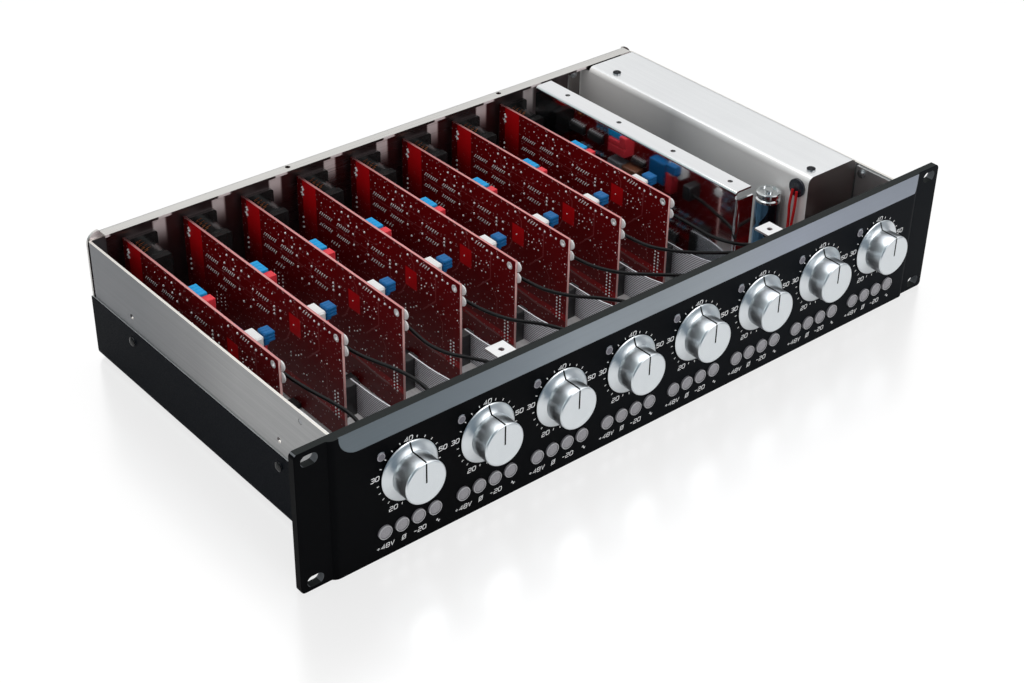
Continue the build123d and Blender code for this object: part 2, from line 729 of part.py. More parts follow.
with BuildPart() as signal_leads:
    for channel, board_x in enumerate(board_row):
        component_face = board_x + board_thickness
        points = [(component_face + x, y, z) for x, y, z in lead_routes[channel]]
        add(cord(points, lead_diameter, f"lead {channel + 1}"))
    for number, points in enumerate(wire_routes):
        add(cord(points, wire_diameter, f"wire {number + 1}"))
save(signal_leads.part, "signal_leads")

# ================================================================ jacks
# Each channel has a socket above and a plug below, both carried by its board and seen through
# the rear panel. X is measured from the board's component face, Z from the jack's axis.
jack_axis_x = jack_width / 2
jack_rear = chassis_depth + jack_proud
jack_shoulder = rear_inside - jack_flange_thickness


def jack_housing():
    """Flange, nose, round body and the block that stands on the board."""
    with BuildPart() as housing:
        with BuildSketch(front_plane(rear_inside)):
            with Locations((jack_axis_x, 0)):
                RectangleRounded(jack_width, jack_flange_height, 2)
        extrude(amount=jack_flange_thickness)
        with BuildSketch(front_plane(jack_rear)):
            with Locations((jack_axis_x, 0)):
                Circle(jack_nose_diameter / 2)
        extrude(amount=jack_rear - rear_inside)
        with BuildSketch(front_plane(jack_shoulder)):
            with Locations((jack_axis_x, 0)):
                Circle(jack_body_diameter / 2)
        extrude(amount=jack_body_length)
        block(0, 0.8 * jack_width, jack_shoulder - jack_body_length - jack_tail_length,
              jack_shoulder - jack_body_length, -9, 9)
    return housing.part


with BuildPart() as input_jack:
    add(jack_housing())
    with BuildSketch(front_plane(jack_rear)):
        with Locations((jack_axis_x, 0)):
            with PolarLocations(contact_circle_diameter / 2, 3, start_angle=-90):
                Circle(contact_pin_diameter / 2 + piece_clearance)
            with Locations((0, jack_nose_diameter / 2 - 2)):
                Rectangle(3.6, 3.0)
    extrude(amount=jack_shell_depth, mode=Mode.SUBTRACT)

with BuildPart() as output_jack:
    add(jack_housing())
    with BuildSketch(front_plane(jack_rear)):
        with Locations((jack_axis_x, 0)):
            Circle(jack_shell_bore / 2)
            with PolarLocations(contact_circle_diameter / 2, 3, start_angle=-90):
                Circle(contact_pin_diameter / 2, mode=Mode.SUBTRACT)
    extrude(amount=jack_shell_depth, mode=Mode.SUBTRACT)

with BuildPart() as xlr_connectors:
    for board_x in board_row:
        with Locations((board_x + board_thickness, 0, jack_offset_z)):
            add(input_jack.part)
        with Locations((board_x + board_thickness, 0, -jack_offset_z)):
            add(output_jack.part)
save(xlr_connectors.part, "xlr_connectors")

# ================================================================ mains inlet
inlet_rear = chassis_depth + inlet_flange_thickness
pin_slot_y = inlet_rear - 16.0

with BuildPart() as mains_inlet:
    with BuildSketch(front_plane(inlet_rear)):
        with Locations((inlet_x, 0)):
            RectangleRounded(*inlet_flange, 2)
    extrude(amount=inlet_flange_thickness)
    with BuildSketch(front_plane(chassis_depth)):
        with Locations((inlet_x, 0)):
            Rectangle(*inlet_body)
    extrude(amount=inlet_depth)
    with BuildSketch(front_plane(inlet_rear)) as recess:
        with Locations((inlet_x, 5.5)):
            Rectangle(24.0, 16.0)
        chamfer(recess.vertices().group_by(Axis.Z)[-1], length=4.0)
        for blade_x, blade_z in ((-7.0, 3.5), (7.0, 3.5), (0.0, 7.5)):
            with Locations((inlet_x + blade_x, blade_z)):
                Rectangle(2.0, 4.0, mode=Mode.SUBTRACT)
    extrude(amount=inlet_rear - pin_slot_y, mode=Mode.SUBTRACT)
    with BuildSketch(front_plane(inlet_rear + 1.0)):
        with Locations((inlet_x, -11.0)):
            RectangleRounded(23.0, 9.0, 1)
        with Locations((inlet_x, -14.0)):
            SlotOverall(9.0, 2.0, mode=Mode.SUBTRACT)
    extrude(amount=1.0)
save(mains_inlet.part, "mains_inlet")

# ================================================================ shield divider
# Polished wall between the boards and the supply: flanges at the top, bottom and front, with
# the corners between them relieved.
corner_relief = bend_radius + thin_sheet

with BuildPart() as shield_divider:
    with BuildSketch(front_plane(divider_front + corner_relief)):
        with BuildLine():
            FilletPolyline((divider_x + divider_flange, frame_half_height),
                           (divider_x, frame_half_height), (divider_x, -frame_half_height),
                           (divider_x + divider_flange, -frame_half_height),
                           radius=bend_radius + thin_sheet)
            offset(amount=thin_sheet, side=Side.LEFT)
        make_face()
    extrude(amount=-(divider_back - divider_front - corner_relief))
    with BuildSketch(Plane.XY.offset(-(frame_half_height - 2 * corner_relief))):
        with BuildLine():
            FilletPolyline((divider_x, divider_front + 3 * corner_relief),
                           (divider_x, divider_front),
                           (divider_x + divider_flange, divider_front),
                           radius=bend_radius + thin_sheet)
            offset(amount=thin_sheet, side=Side.LEFT)
        make_face()
    extrude(amount=2 * (frame_half_height - 2 * corner_relief))
    with BuildSketch(Plane.XY.offset(frame_half_height)):
        for place in range(4):
            with Locations((divider_x + divider_hole_offset,
                            divider_hole_first + place * divider_hole_pitch)):
                Circle(screw_hole_radius)
    extrude(amount=-2 * thin_sheet, mode=Mode.SUBTRACT)
save(shield_divider.part, "shield_divider")

# ================================================================ power supply box
# Folded screening cover, open below, with a front wall and a tab at the rear of its left side.
with BuildPart() as power_supply_box:
    with BuildSketch(front_plane(supply_front)):
        with BuildLine():
            FilletPolyline((supply_left, -frame_half_height), (supply_left, frame_half_height),
                           (supply_right, frame_half_height),
                           (supply_right, -frame_half_height),
                           radius=supply_bend_radius + thin_sheet)
            offset(amount=thin_sheet, side=Side.RIGHT)
        make_face()
    extrude(amount=-(supply_back - supply_front))
    with BuildSketch(front_plane(supply_front)):
        with BuildLine():
            FilletPolyline((supply_left, -frame_half_height), (supply_left, frame_half_height),
                           (supply_right, frame_half_height),
                           (supply_right, -frame_half_height),
                           radius=supply_bend_radius + thin_sheet)
            Line((supply_right, -frame_half_height), (supply_left, -frame_half_height))
        make_face()
    extrude(amount=-thin_sheet)
    with BuildSketch(Plane.XY.offset(-frame_half_height + 2 * sheet)):
        with BuildLine():
            FilletPolyline((supply_left, supply_back - 10), (supply_left, rear_inside - thin_sheet),
                           (supply_left - supply_tab_width, rear_inside - thin_sheet),
                           radius=bend_radius)
            offset(amount=thin_sheet, side=Side.RIGHT)
        make_face()
    extrude(amount=2 * frame_half_height - 4 * sheet)
    with BuildSketch(Plane.XY.offset(frame_half_height)):
        with Locations(*supply_screws):
            Circle(screw_hole_radius)
    extrude(amount=-2 * thin_sheet, mode=Mode.SUBTRACT)
    with BuildSketch(front_plane(rear_inside)):
        with Locations((supply_bolt_x, supply_bolt_height)):
            Circle(screw_hole_radius)
    extrude(amount=2 * thin_sheet, mode=Mode.SUBTRACT)
    with BuildSketch(Plane.YZ.offset(supply_left - 1)):
        with Locations((grommet_y, grommet_height)):
            Circle(grommet_wall_hole / 2)
    extrude(amount=thin_sheet + 2, mode=Mode.SUBTRACT)
save(power_supply_box.part, "power_supply_box")

# Mains transformer, smoothing capacitors and heat sink on their own board inside the box.
supply_middle = (supply_left + supply_right) / 2
supply_board_z = cover_floor + 6.0
supply_board_top = supply_board_z + board_thickness

with BuildPart() as power_supply_module:
    block(supply_middle - 18, supply_middle + 18, 48, 214, supply_board_z, supply_board_top)
    for post_y in (56, 206):
        for side in (-1, 1):
            with BuildSketch(Plane.XY.offset(cover_floor)):
                with Locations((supply_middle + 13 * side, post_y)):
                    Circle(3)
            extrude(amount=supply_board_z - cover_floor)
    with BuildSketch(Plane.XY.offset(supply_board_top)):
        with Locations((supply_middle, 186)):
            Circle(17.5)
            Circle(5.0, mode=Mode.SUBTRACT)
    extrude(amount=38)
    for place in range(4):
        with BuildSketch(Plane.XY.offset(supply_board_top)):
            with Locations((supply_middle - 8.5, 70 + 20 * place)):
                Circle(8)
        extrude(amount=32)
    block(supply_middle + 4, supply_middle + 7, 62, 158, supply_board_top, supply_board_top + 40)
    for place in range(7):
        block(supply_middle + 7, supply_middle + 17, 62 + 15.5 * place, 65 + 15.5 * place,
              supply_board_top, supply_board_top + 40)
save(power_supply_module.part, "power_supply_module")

# ================================================================ capacitor beside the supply
# Tall can with a crimped metal top and a screw terminal, the wires' terminal block and the
# grommet that takes the wires through the box's wall.
can_radius = can_diameter / 2

with BuildPart() as smoothing_capacitor:
    with BuildSketch(Plane.XZ) as can_outline:
        with BuildLine():
            Polyline((0, cover_floor), (can_radius - 0.6, cover_floor),
                     (can_radius, cover_floor + 0.6), (can_radius, can_top - 5.0),
                     (can_radius - 0.9, can_top - 4.2), (can_radius - 0.9, can_top - 3.4),
                     (can_radius, can_top - 2.6), (can_radius, can_top - 0.5),
                     (can_radius - 0.5, can_top), (can_radius - 2.0, can_top),
                     (can_radius - 2.0, can_top - 1.0), (2.6, can_top - 1.0),
                     (2.6, can_top + 1.2), (0, can_top + 1.2), (0, cover_floor))
        make_face()
    revolve(axis=Axis.Z)

with BuildPart() as supply_terminals:
    with Locations((can_x, can_y, 0)):
        add(smoothing_capacitor.part)
    block(152.0, 161.0, 38.0, 48.0, cover_floor, -30.0 - lead_fit)
    with BuildSketch(Plane.YZ.offset(supply_left)):
        with Locations((grommet_y, grommet_height)):
            Circle(grommet_diameter / 2)
    extrude(amount=-1.6)
    with BuildSketch(Plane.YZ.offset(supply_left)):
        with Locations((grommet_y, grommet_height)):
            Circle(grommet_wall_hole / 2 - piece_clearance / 3)
    extrude(amount=thin_sheet)
save(supply_terminals.part, "smoothing_capacitor")

# ================================================================ screws
def screw(shank):
    """Pan head screw, head upward from its seat at the origin."""
    with BuildPart() as form:
        with BuildSketch(Plane.XZ):
            with BuildLine():
                Polyline((0, screw_head_height), (0, -shank), (screw_diameter / 2, -shank),
                         (screw_diameter / 2, 0), (screw_head_diameter / 2, 0),
                         (screw_head_diameter / 2, 0.5 * screw_head_height))
                TangentArc((0, screw_head_height),
                           (screw_head_diameter / 2, 0.5 * screw_head_height),
                           tangent=(1, 0))
            make_face()
        revolve(axis=Axis.Z)
    return form.part


long_screw = screw(5.0)
short_screw = screw(thin_sheet + sheet - 0.1)

with BuildPart() as screws:
    for side in (-1, 1):
        for screw_y in cover_screw_y:
            with Locations(Plane((side * cover_outer, screw_y, -cover_screw_drop),
                                 z_dir=(side, 0, 0)).location):
                add(long_screw)
        for height in (-bracket_screw_height, bracket_screw_height):
            with Locations(Plane((side * (rail_inside - thin_sheet), bracket_screw_y, height),
                                 z_dir=(-side, 0, 0)).location):
                add(short_screw)
        for height in (-rear_screw_height, rear_screw_height):
            rear_x = side * (chassis_half_width - rail_rear_flange / 2 - sheet / 2)
            with Locations(Plane((rear_x, chassis_depth, height), z_dir=(0, 1, 0)).location):
                add(long_screw)
    for screw_x, screw_y in supply_screws:
        with Locations((screw_x, screw_y, frame_half_height)):
            add(long_screw)
    with Locations(Plane((supply_bolt_x, rear_inside - thin_sheet, supply_bolt_height),
                         z_dir=(0, -1, 0)).location):
        add(short_screw)
save(screws.part, "screws")
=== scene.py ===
# %% [markdown]
# # An eight-channel microphone preamp, seen with its lid off
# The real object is a two-unit rack box: a thick black front plate with eight turned knobs,
# eight red circuit boards standing on edge behind it, and a screened power supply at the
# right. The CAD already holds every size and every moving piece, so this lesson starts by
# loading it and only adds what makes the surfaces look real.

# %% Load the packed model
import math

import bmesh
import bpy
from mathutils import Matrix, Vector


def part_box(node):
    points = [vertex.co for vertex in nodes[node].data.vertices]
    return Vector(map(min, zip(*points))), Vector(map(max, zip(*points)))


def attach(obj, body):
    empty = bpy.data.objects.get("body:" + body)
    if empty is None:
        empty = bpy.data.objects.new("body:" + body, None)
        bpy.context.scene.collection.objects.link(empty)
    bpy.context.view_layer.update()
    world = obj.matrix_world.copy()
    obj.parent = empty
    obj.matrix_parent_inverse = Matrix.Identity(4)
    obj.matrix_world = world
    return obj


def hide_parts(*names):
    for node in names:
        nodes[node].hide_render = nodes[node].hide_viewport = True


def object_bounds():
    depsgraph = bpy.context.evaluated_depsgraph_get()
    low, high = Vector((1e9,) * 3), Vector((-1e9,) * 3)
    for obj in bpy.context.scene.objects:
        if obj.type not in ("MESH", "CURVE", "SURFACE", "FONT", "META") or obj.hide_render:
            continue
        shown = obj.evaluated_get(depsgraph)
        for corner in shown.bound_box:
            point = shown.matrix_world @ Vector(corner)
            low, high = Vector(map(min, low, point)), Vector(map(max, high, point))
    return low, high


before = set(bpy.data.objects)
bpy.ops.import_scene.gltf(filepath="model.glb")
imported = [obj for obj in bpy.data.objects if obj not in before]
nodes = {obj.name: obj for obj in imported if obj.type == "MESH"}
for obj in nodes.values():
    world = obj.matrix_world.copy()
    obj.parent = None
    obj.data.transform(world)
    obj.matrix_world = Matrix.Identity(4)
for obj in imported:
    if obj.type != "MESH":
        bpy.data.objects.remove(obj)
cad_low, cad_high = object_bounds()
print("CAD nodes:", len(nodes))
print("CAD box in mm:", [round(1000 * side, 1) for side in cad_high - cad_low])

# %% [markdown]
# ## The camera
# A product view from the front left and above. A long lens would flatten the row of boards
# and a short one would bend the rack, so the lens is between them. The camera is placed by
# numbers, so that every render of the lesson has the same view.

# %% Camera
lens = bpy.data.cameras.new("camera")
lens.lens, lens.sensor_width = 64.13, 36.0
camera = bpy.data.objects.new("camera", lens)
camera.location = (-0.61374, -0.60285, 0.57603)
camera.rotation_euler = [math.radians(turn) for turn in (56.394, -0.933, -39.765)]
bpy.context.scene.collection.objects.link(camera)
bpy.context.scene.camera = camera
bpy.context.scene.view_settings.view_transform = "Standard"
print("Camera stands", round((camera.location - (cad_low + cad_high) / 2).length, 3), "m away")

# %% [markdown]
# ## Arithmetic on sockets
# A finish is mostly arithmetic: a mask is a comparison, a scratch is a noise times a small
# number. Wiring each sum by hand hides the idea, so one small class wraps a socket and
# turns Python's operators into Math nodes. Colours need a Mix node and vectors a Vector
# Math node, because a Math node would keep only their brightness.


# %% A value on its way through a finish
class Flow:
    """A socket's value. Arithmetic on it adds the nodes that work the answer out."""

    def __init__(self, finish, socket):
        self.finish, self.socket = finish, socket

    def _sum(self, operation, *values):
        kinds = {value.socket.type for value in values if isinstance(value, Flow)}
        if "RGBA" in kinds:
            return self.finish.node("ShaderNodeMix", {"data_type": "RGBA", "blend_type": operation},
                                    {"Factor": 1.0, "A": values[0], "B": values[1]}, "Result")
        kind = "ShaderNodeVectorMath" if "VECTOR" in kinds else "ShaderNodeMath"
        return self.finish.node(kind, {"operation": operation}, dict(enumerate(values)))

    def __add__(self, other): return self._sum("ADD", self, other)
    def __radd__(self, other): return self._sum("ADD", other, self)
    def __sub__(self, other): return self._sum("SUBTRACT", self, other)
    def __rsub__(self, other): return self._sum("SUBTRACT", other, self)
    def __mul__(self, other): return self._sum("MULTIPLY", self, other)
    def __rmul__(self, other): return self._sum("MULTIPLY", other, self)
    def __truediv__(self, other): return self._sum("DIVIDE", self, other)
    def __gt__(self, other): return self._sum("GREATER_THAN", self, other)
    def __lt__(self, other): return self._sum("LESS_THAN", self, other)
    def __abs__(self): return self._sum("ABSOLUTE", self)


print("A value can be added, taken away, multiplied, divided, compared and made positive")

# %% The nodes of a finish
class Tree:
    """A material, or the world, and the nodes in it."""

    def __init__(self, name, tree=None):
        if tree is None:
            self.material = bpy.data.materials.new(name)
            self.material.use_nodes = True
            tree = self.material.node_tree
        self.tree = tree
        tree.nodes.clear()

    def node(self, kind, settings=None, values=None, output=0):
        """Adds a node: its settings first, then the value or link of each named socket."""
        made = self.tree.nodes.new(kind)
        for name, value in (settings or {}).items():
            if name == "stops":
                ramp = made.color_ramp
                ramp.elements[0].position, ramp.elements[-1].position = value[0][0], value[-1][0]
                for place, colour in value[1:-1]:
                    ramp.elements.new(place)
                for element, (place, colour) in zip(ramp.elements, value):
                    element.color = colour
            else:
                setattr(made, name, value)
        for name, value in (values or {}).items():
            entry = made.inputs[name] if isinstance(name, int) else next(
                socket for socket in made.inputs if socket.name == name and socket.enabled)
            if isinstance(value, Flow):
                self.tree.links.new(value.socket, entry)
            elif entry.type in ("VECTOR", "RGBA") and isinstance(value, (int, float)):
                entry.default_value = (value,) * 3 + ((1.0,) if entry.type == "RGBA" else ())
            else:
                entry.default_value = value
        given = [socket for socket in made.outputs if socket.enabled]
        chosen = given[output] if isinstance(output, int) else next(
            socket for socket in given if socket.name == output)
        return Flow(self, chosen)

    def surface(self, values):
        """Ends the finish in one Principled shader with these socket values."""
        shader = self.node("ShaderNodeBsdfPrincipled", values=values)
        self.node_output(shader)
        return self.material

    def node_output(self, shader):
        """Sends a shader to the material's output."""
        end = self.tree.nodes.new("ShaderNodeOutputMaterial")
        self.tree.links.new(shader.socket, end.inputs["Surface"])


print("Every node is made by one method, with its values:", "node" in vars(Tree))

# %% [markdown]
# ## Masks, patterns and colours
# Most finishes ask the same few things: where a point is, which way the surface faces there,
# how strong a noise is, and whether a value lies within limits. Each of them gets a short
# name here, so that a finish reads like a recipe. Colours are written as six-figure codes and
# turned into the linear values that light adds up in.


# %% The finish that a piece wears
class Finish(Tree):
    """A tree of nodes, with short names for the patterns and masks that finishes share."""

    def place(self):
        """Where a point is on its piece, in metres."""
        return self.node("ShaderNodeTexCoord", output="Object")

    def parts(self, vector):
        """The three numbers of a vector."""
        split = self.node("ShaderNodeSeparateXYZ", values={0: vector})
        return [Flow(self, socket) for socket in split.socket.node.outputs]

    def facing(self):
        """Which way the surface faces, as three numbers."""
        return self.parts(self.node("ShaderNodeNewGeometry", output="True Normal"))

    def noise(self, vector, scale, detail=2.0, roughness=0.5):
        """Soft random variation from 0 to 1."""
        return self.node("ShaderNodeTexNoise", {"noise_dimensions": "3D"},
                         {"Vector": vector, "Scale": scale, "Detail": detail,
                          "Roughness": roughness}, "Fac")

    def rise(self, value, low, high, start=0.0, end=1.0):
        """Turns a value that goes from low to high into one from start to end."""
        return self.node("ShaderNodeMapRange", {"interpolation_type": "SMOOTHSTEP"},
                         {"Value": value, "From Min": low, "From Max": high,
                          "To Min": start, "To Max": end})

    def within(self, value, low, high, soft):
        """1 where a value lies between two others, with soft edges."""
        return self.rise(value, low, low + soft) * self.rise(value, high, high - soft)

    def blend(self, share, first, second):
        """A colour between two others."""
        return self.node("ShaderNodeMix", {"data_type": "RGBA"},
                         {"Factor": share, "A": first, "B": second}, "Result")

    def either(self, first, second):
        """The larger of two masks."""
        return self.node("ShaderNodeMath", {"operation": "MAXIMUM"}, {0: first, 1: second})

    def wave(self, value):
        """Sine of a value."""
        return self.node("ShaderNodeMath", {"operation": "SINE"}, {0: value})

    def ramp(self, value, stops):
        """A colour that changes through stops of (place, colour code)."""
        return self.node("ShaderNodeValToRGB", {
            "stops": [(place, tint(code)) for place, code in stops]}, {"Fac": value})

    def bump(self, height, distance):
        """A normal that follows a height, given in metres by distance."""
        return self.node("ShaderNodeBump", values={"Height": height, "Distance": distance})


def tint(code):
    """Colour from a six-figure code, as the linear values that shaders use."""
    shares = [int(code[start:start + 2], 16) / 255 for start in (0, 2, 4)]
    linear = [share / 12.92 if share <= 0.04045 else ((share + 0.055) / 1.055) ** 2.4
              for share in shares]
    return (*linear, 1.0)


print("A middle grey is", [round(share, 3) for share in tint("808080")])

# %% [markdown]
# ## Floor, light and background
# A product shot on white acrylic: the floor is white to the camera, yet keeps the soft shadow
# and a faint mirror image of the rack. The world is white where the camera sees it, and a
# studio of soft boxes and darker gaps where metal sees it, because polished metal shows
# nothing but its surroundings. The room is dark teal behind the camera and beyond the front
# edge of the table, and that draws the dark crescents on every knob.

# %% Studio world
world = bpy.data.worlds.new("studio")
world.use_nodes = True
bpy.context.scene.world = world
studio = Finish("studio", world.node_tree)
east, north, up = studio.parts(studio.node("ShaderNodeTexCoord", output="Generated"))
sky = studio.ramp(studio.rise(up, -1.0, 1.0), [
    (0.0, "b2b7be"), (0.46, "747c84"), (0.56, "4a535a"), (0.66, "e8ebee"), (0.76, "ffffff"),
    (1.0, "ffffff")])
left_gap = studio.rise(east, -1.0, 0.1, 0.55, 1.0)
left_low = studio.rise(east, -1.0, 0.1, 0.45, 1.0)
seen = sky * studio.node("ShaderNodeCombineXYZ", values={
    0: left_low, 1: left_gap, 2: left_gap})
behind_camera = east * -0.52 + north * -0.62 + up * 0.58
dark_side = studio.rise(behind_camera, 0.74, 0.93)
room_end = (studio.rise(north, -0.6, -0.9) * studio.rise(up, 0.05, 0.01)
            * studio.rise(up, -0.4, -0.3))
seen = studio.blend(studio.either(dark_side, room_end) * 0.92, seen, tint("14485f"))
rays = studio.node("ShaderNodeLightPath", output="Is Camera Ray")
gloss = studio.node("ShaderNodeLightPath", output="Is Glossy Ray")
colour = studio.blend(rays, studio.blend(gloss, tint("ffffff"), seen), (1, 1, 1, 1))
strength = studio.node("ShaderNodeMapRange", values={
    "Value": rays + gloss, "From Min": 0.0, "From Max": 1.0, "To Min": 0.45, "To Max": 1.0})
backdrop = studio.node("ShaderNodeBackground", values={"Color": colour, "Strength": strength})
world_end = world.node_tree.nodes.new("ShaderNodeOutputWorld")
world.node_tree.links.new(backdrop.socket, world_end.inputs["Surface"])
print("World nodes:", len(world.node_tree.nodes))


# %% Floor
floor_height = cad_low.z
floor_mesh = bpy.data.meshes.new("floor")
reach = 6.0
floor_mesh.from_pydata([(x * reach, y * reach, floor_height - 0.00002)
                        for x, y in ((-1, -1), (1, -1), (1, 1), (-1, 1))], [], [(0, 1, 2, 3)])
floor = bpy.data.objects.new("floor", floor_mesh)
bpy.context.scene.collection.objects.link(floor)
acrylic = Finish("white_acrylic")
matt = acrylic.node("ShaderNodeBsdfDiffuse", values={"Color": tint("f4f4f4")})
lit = acrylic.node("ShaderNodeEmission", values={"Color": (1, 1, 1, 1), "Strength": 1.0})
gloss_coat = acrylic.node("ShaderNodeBsdfGlossy", values={
    "Color": (1.3, 1.3, 1.3, 1), "Roughness": 0.24})
camera_sees = acrylic.node("ShaderNodeLightPath", output="Is Camera Ray")
metal_sees = acrylic.node("ShaderNodeLightPath", output="Is Glossy Ray")
pale = acrylic.node("ShaderNodeMixShader", values={
    0: camera_sees * 0.88 + metal_sees * 0.12, 1: matt, 2: lit})
polished_floor = acrylic.node("ShaderNodeMixShader", values={0: camera_sees * 0.13, 1: pale,
                                                             2: gloss_coat})
table_edge = -0.2
away = acrylic.parts(acrylic.place())[1] < table_edge
table = acrylic.node("ShaderNodeMixShader", values={
    0: metal_sees * away, 1: polished_floor, 2: acrylic.node("ShaderNodeBsdfTransparent")})
acrylic.node_output(table)
floor_mesh.materials.append(acrylic.material)
print("Floor lies at", round(1000 * floor_height, 2), "mm")


# %% Soft boxes
def soft_box(name, place, aim, size, power):
    """Square area light that faces a point."""
    light = bpy.data.lights.new(name, "AREA")
    light.shape, light.size, light.size_y, light.energy = "RECTANGLE", *size, power
    box = bpy.data.objects.new(name, light)
    box.location = place
    box.rotation_euler = (Vector(aim) - Vector(place)).to_track_quat("-Z", "Y").to_euler()
    bpy.context.scene.collection.objects.link(box)
    return box


soft_box("overhead", (0.1, 0.35, 1.5), (0, 0.1, 0), (1.6, 1.2), 11.0)
soft_box("front_fill", (0.55, -1.3, 0.75), (0, 0, 0), (1.0, 0.8), 6.0)
soft_box("left_fill", (-1.4, -0.2, 0.7), (0, 0.1, 0), (0.8, 0.8), 3.0)


# %% [markdown]
# ## Metal finishes
# Sheet aluminium comes from the mill with fine brush lines along its length. Each line is far
# too thin to see alone, but together they stretch every highlight across the grain. A noise
# squeezed in two directions and left long in the third gives lines of any length; it feeds
# the colour, the roughness and a bump of a few thousandths of a millimetre.


# %% Brushed aluminium
def brushed(name, dark, light, roughness, grain):
    """Aluminium sheet with brush lines. Grain is long, in metres, along the brushed axis."""
    finish = Finish(name)
    place = finish.place()
    lines = finish.noise(place * grain, 1.0, 5, 0.72)
    patches = finish.noise(place, 9.0, 3)
    shade = finish.blend(lines * 0.6 + patches * 0.4, tint(dark), tint(light))
    return finish.surface({
        "Base Color": shade, "Metallic": 1.0,
        "Roughness": finish.rise(lines + patches, 0.6, 1.4, roughness - 0.07, roughness + 0.07),
        "Normal": finish.bump(lines, 0.000004)})


along_x, along_y = (6, 900, 900), (900, 6, 900)
divider_finish = brushed("divider_sheet", "d3d5d7", "f0f1f2", 0.09, along_y)
bracket_finish = brushed("bracket_aluminium", "d4d5d6", "efefef", 0.4, along_x)
print("Brushed finishes:", divider_finish.name, bracket_finish.name)

# %% [markdown]
# ## Rails, rear panel and supply box
# These three sheets look different along their length, and their colour carries painted light
# and shade for what each mirrors and for the light that falls near it. The side rail has painted
# shade that darkens it toward the back and a painted highlight along its top edge. The rear panel
# is bright outside, with painted shade behind the jacks and a painted light patch where light
# falls between two of them. The supply box has a bright brushed lid, painted shade on its front
# face and painted light on its wall, where light is caught between it and the divider. A colour
# ramp along one axis, or a mask made from the way a face looks, paints each change.


# %% Side rails
def sheet_with_painted_shade(name, axis, stops, grain, roughness):
    """Brushed sheet with painted shade that darkens it along one axis, and a painted highlight
    on its upward faces.
    """
    finish = Finish(name)
    place = finish.place()
    lines = finish.noise(place * grain, 1.0, 5, 0.74)
    patches = finish.noise(place, 9.0, 3)
    # Painted shade: a colour ramp along the axis darkens the sheet toward the rear, and the brush
    # grain is blended into it.
    along = finish.ramp(finish.rise(finish.parts(place)[axis], 0.0, 0.25), stops)
    worn = finish.blend(lines * 0.5 + patches * 0.25, along, tint("77797b"))
    # Painted highlight: faces that look up get a pale colour.
    edge = finish.facing()[2] > 0.7
    return finish.surface({
        "Base Color": finish.blend(edge, worn, tint("dedbd5")), "Metallic": 0.85,
        "Roughness": finish.rise(lines + patches, 0.6, 1.4, roughness - 0.07, roughness + 0.07),
        "Normal": finish.bump(lines, 0.000005)})


rail_finish = sheet_with_painted_shade("rail_aluminium", 1, [(0.0, "c2c2c2"), (0.3, "bdbdbd"), (0.55, "9c9c9d"),
                                           (0.85, "7c7e81"), (1.0, "76787c")], along_y, 0.38)
print("Rail finish:", rail_finish.name)


# %% Rear panel
jack_pitch, jack_offset = 0.0409, 0.1918


def rear_sheet():
    """Rear panel: pale brushed outside, and painted shade inside, but for a painted light patch
    by each jack.
    """
    finish = Finish("rear_aluminium")
    place = finish.place()
    x, y, z = finish.parts(place)
    lines = finish.noise(place * along_x, 1.0, 5, 0.72)
    patches = finish.noise(place, 9.0, 3)
    facing = finish.facing()
    inside = (facing[1] < -0.5) * (z < 0.043)
    outer = finish.blend(lines * 0.6 + patches * 0.4, tint("bcbbb8"), tint("dedcd8"))
    # Painted light: a pale patch beside each jack, where light falls between the jack and the next
    # board, fading out downward.
    beside = finish.node("ShaderNodeMath", {"operation": "FLOORED_MODULO"},
                         {0: x + jack_offset, 1: jack_pitch})
    gap = finish.rise(beside, 0.0200, 0.0215) * finish.rise(beside, 0.0305, 0.0285)
    gap = gap * finish.rise(z, 0.014, 0.034)
    # Painted shade: the inside faces are dark, but for the painted light patch.
    inner = finish.blend(gap, finish.blend(patches, tint("4a4142"), tint("6b5f60")),
                         tint("f2e6e6"))
    return finish.surface({
        "Base Color": finish.blend(inside, outer, inner), "Metallic": 0.95 - inside * gap * 0.8,
        "Roughness": finish.rise(lines + patches, 0.6, 1.4, 0.24, 0.4),
        "Normal": finish.bump(lines, 0.000004)})


rear_finish = rear_sheet()
print("Rear finish:", rear_finish.name)


# %% Supply box
def supply_sheet():
    """Supply box: bright brushed lid, painted shade on its front face, and satin walls with
    painted light and shade along their depth.
    """
    finish = Finish("supply_sheet")
    place = finish.place()
    lines = finish.noise(place * along_y, 1.0, 5, 0.72)
    patches = finish.noise(place, 12.0, 3)
    facing = finish.facing()
    wall = facing[0] < -0.5
    depth = finish.parts(place)[1]
    bright = finish.blend(lines * 0.6 + patches * 0.4, tint("d2d4d6"), tint("f0f1f1"))
    # Painted light and shade: the wall's colour brightens and darkens along its depth with the
    # light caught between it and the divider.
    pale = finish.ramp(finish.rise(depth, 0.04, 0.24), [
        (0.0, "f2f2f1"), (0.35, "dcdddd"), (0.62, "b9babb"), (0.85, "dcdbda"), (1.0, "efedeb")])
    # Painted shade: faces that look forward get a dark brown-grey.
    front = facing[1] < -0.5
    bright = finish.blend(front, bright, tint("8b8583"))
    return finish.surface({
        "Base Color": finish.blend(wall, bright, pale),
        "Metallic": 0.95 - wall * 0.8,
        "Roughness": finish.rise(lines + patches, 0.6, 1.4, 0.28, 0.42),
        "Normal": finish.bump(lines, 0.000004)})


sheet_finish = supply_sheet()
print("Supply finish:", sheet_finish.name)
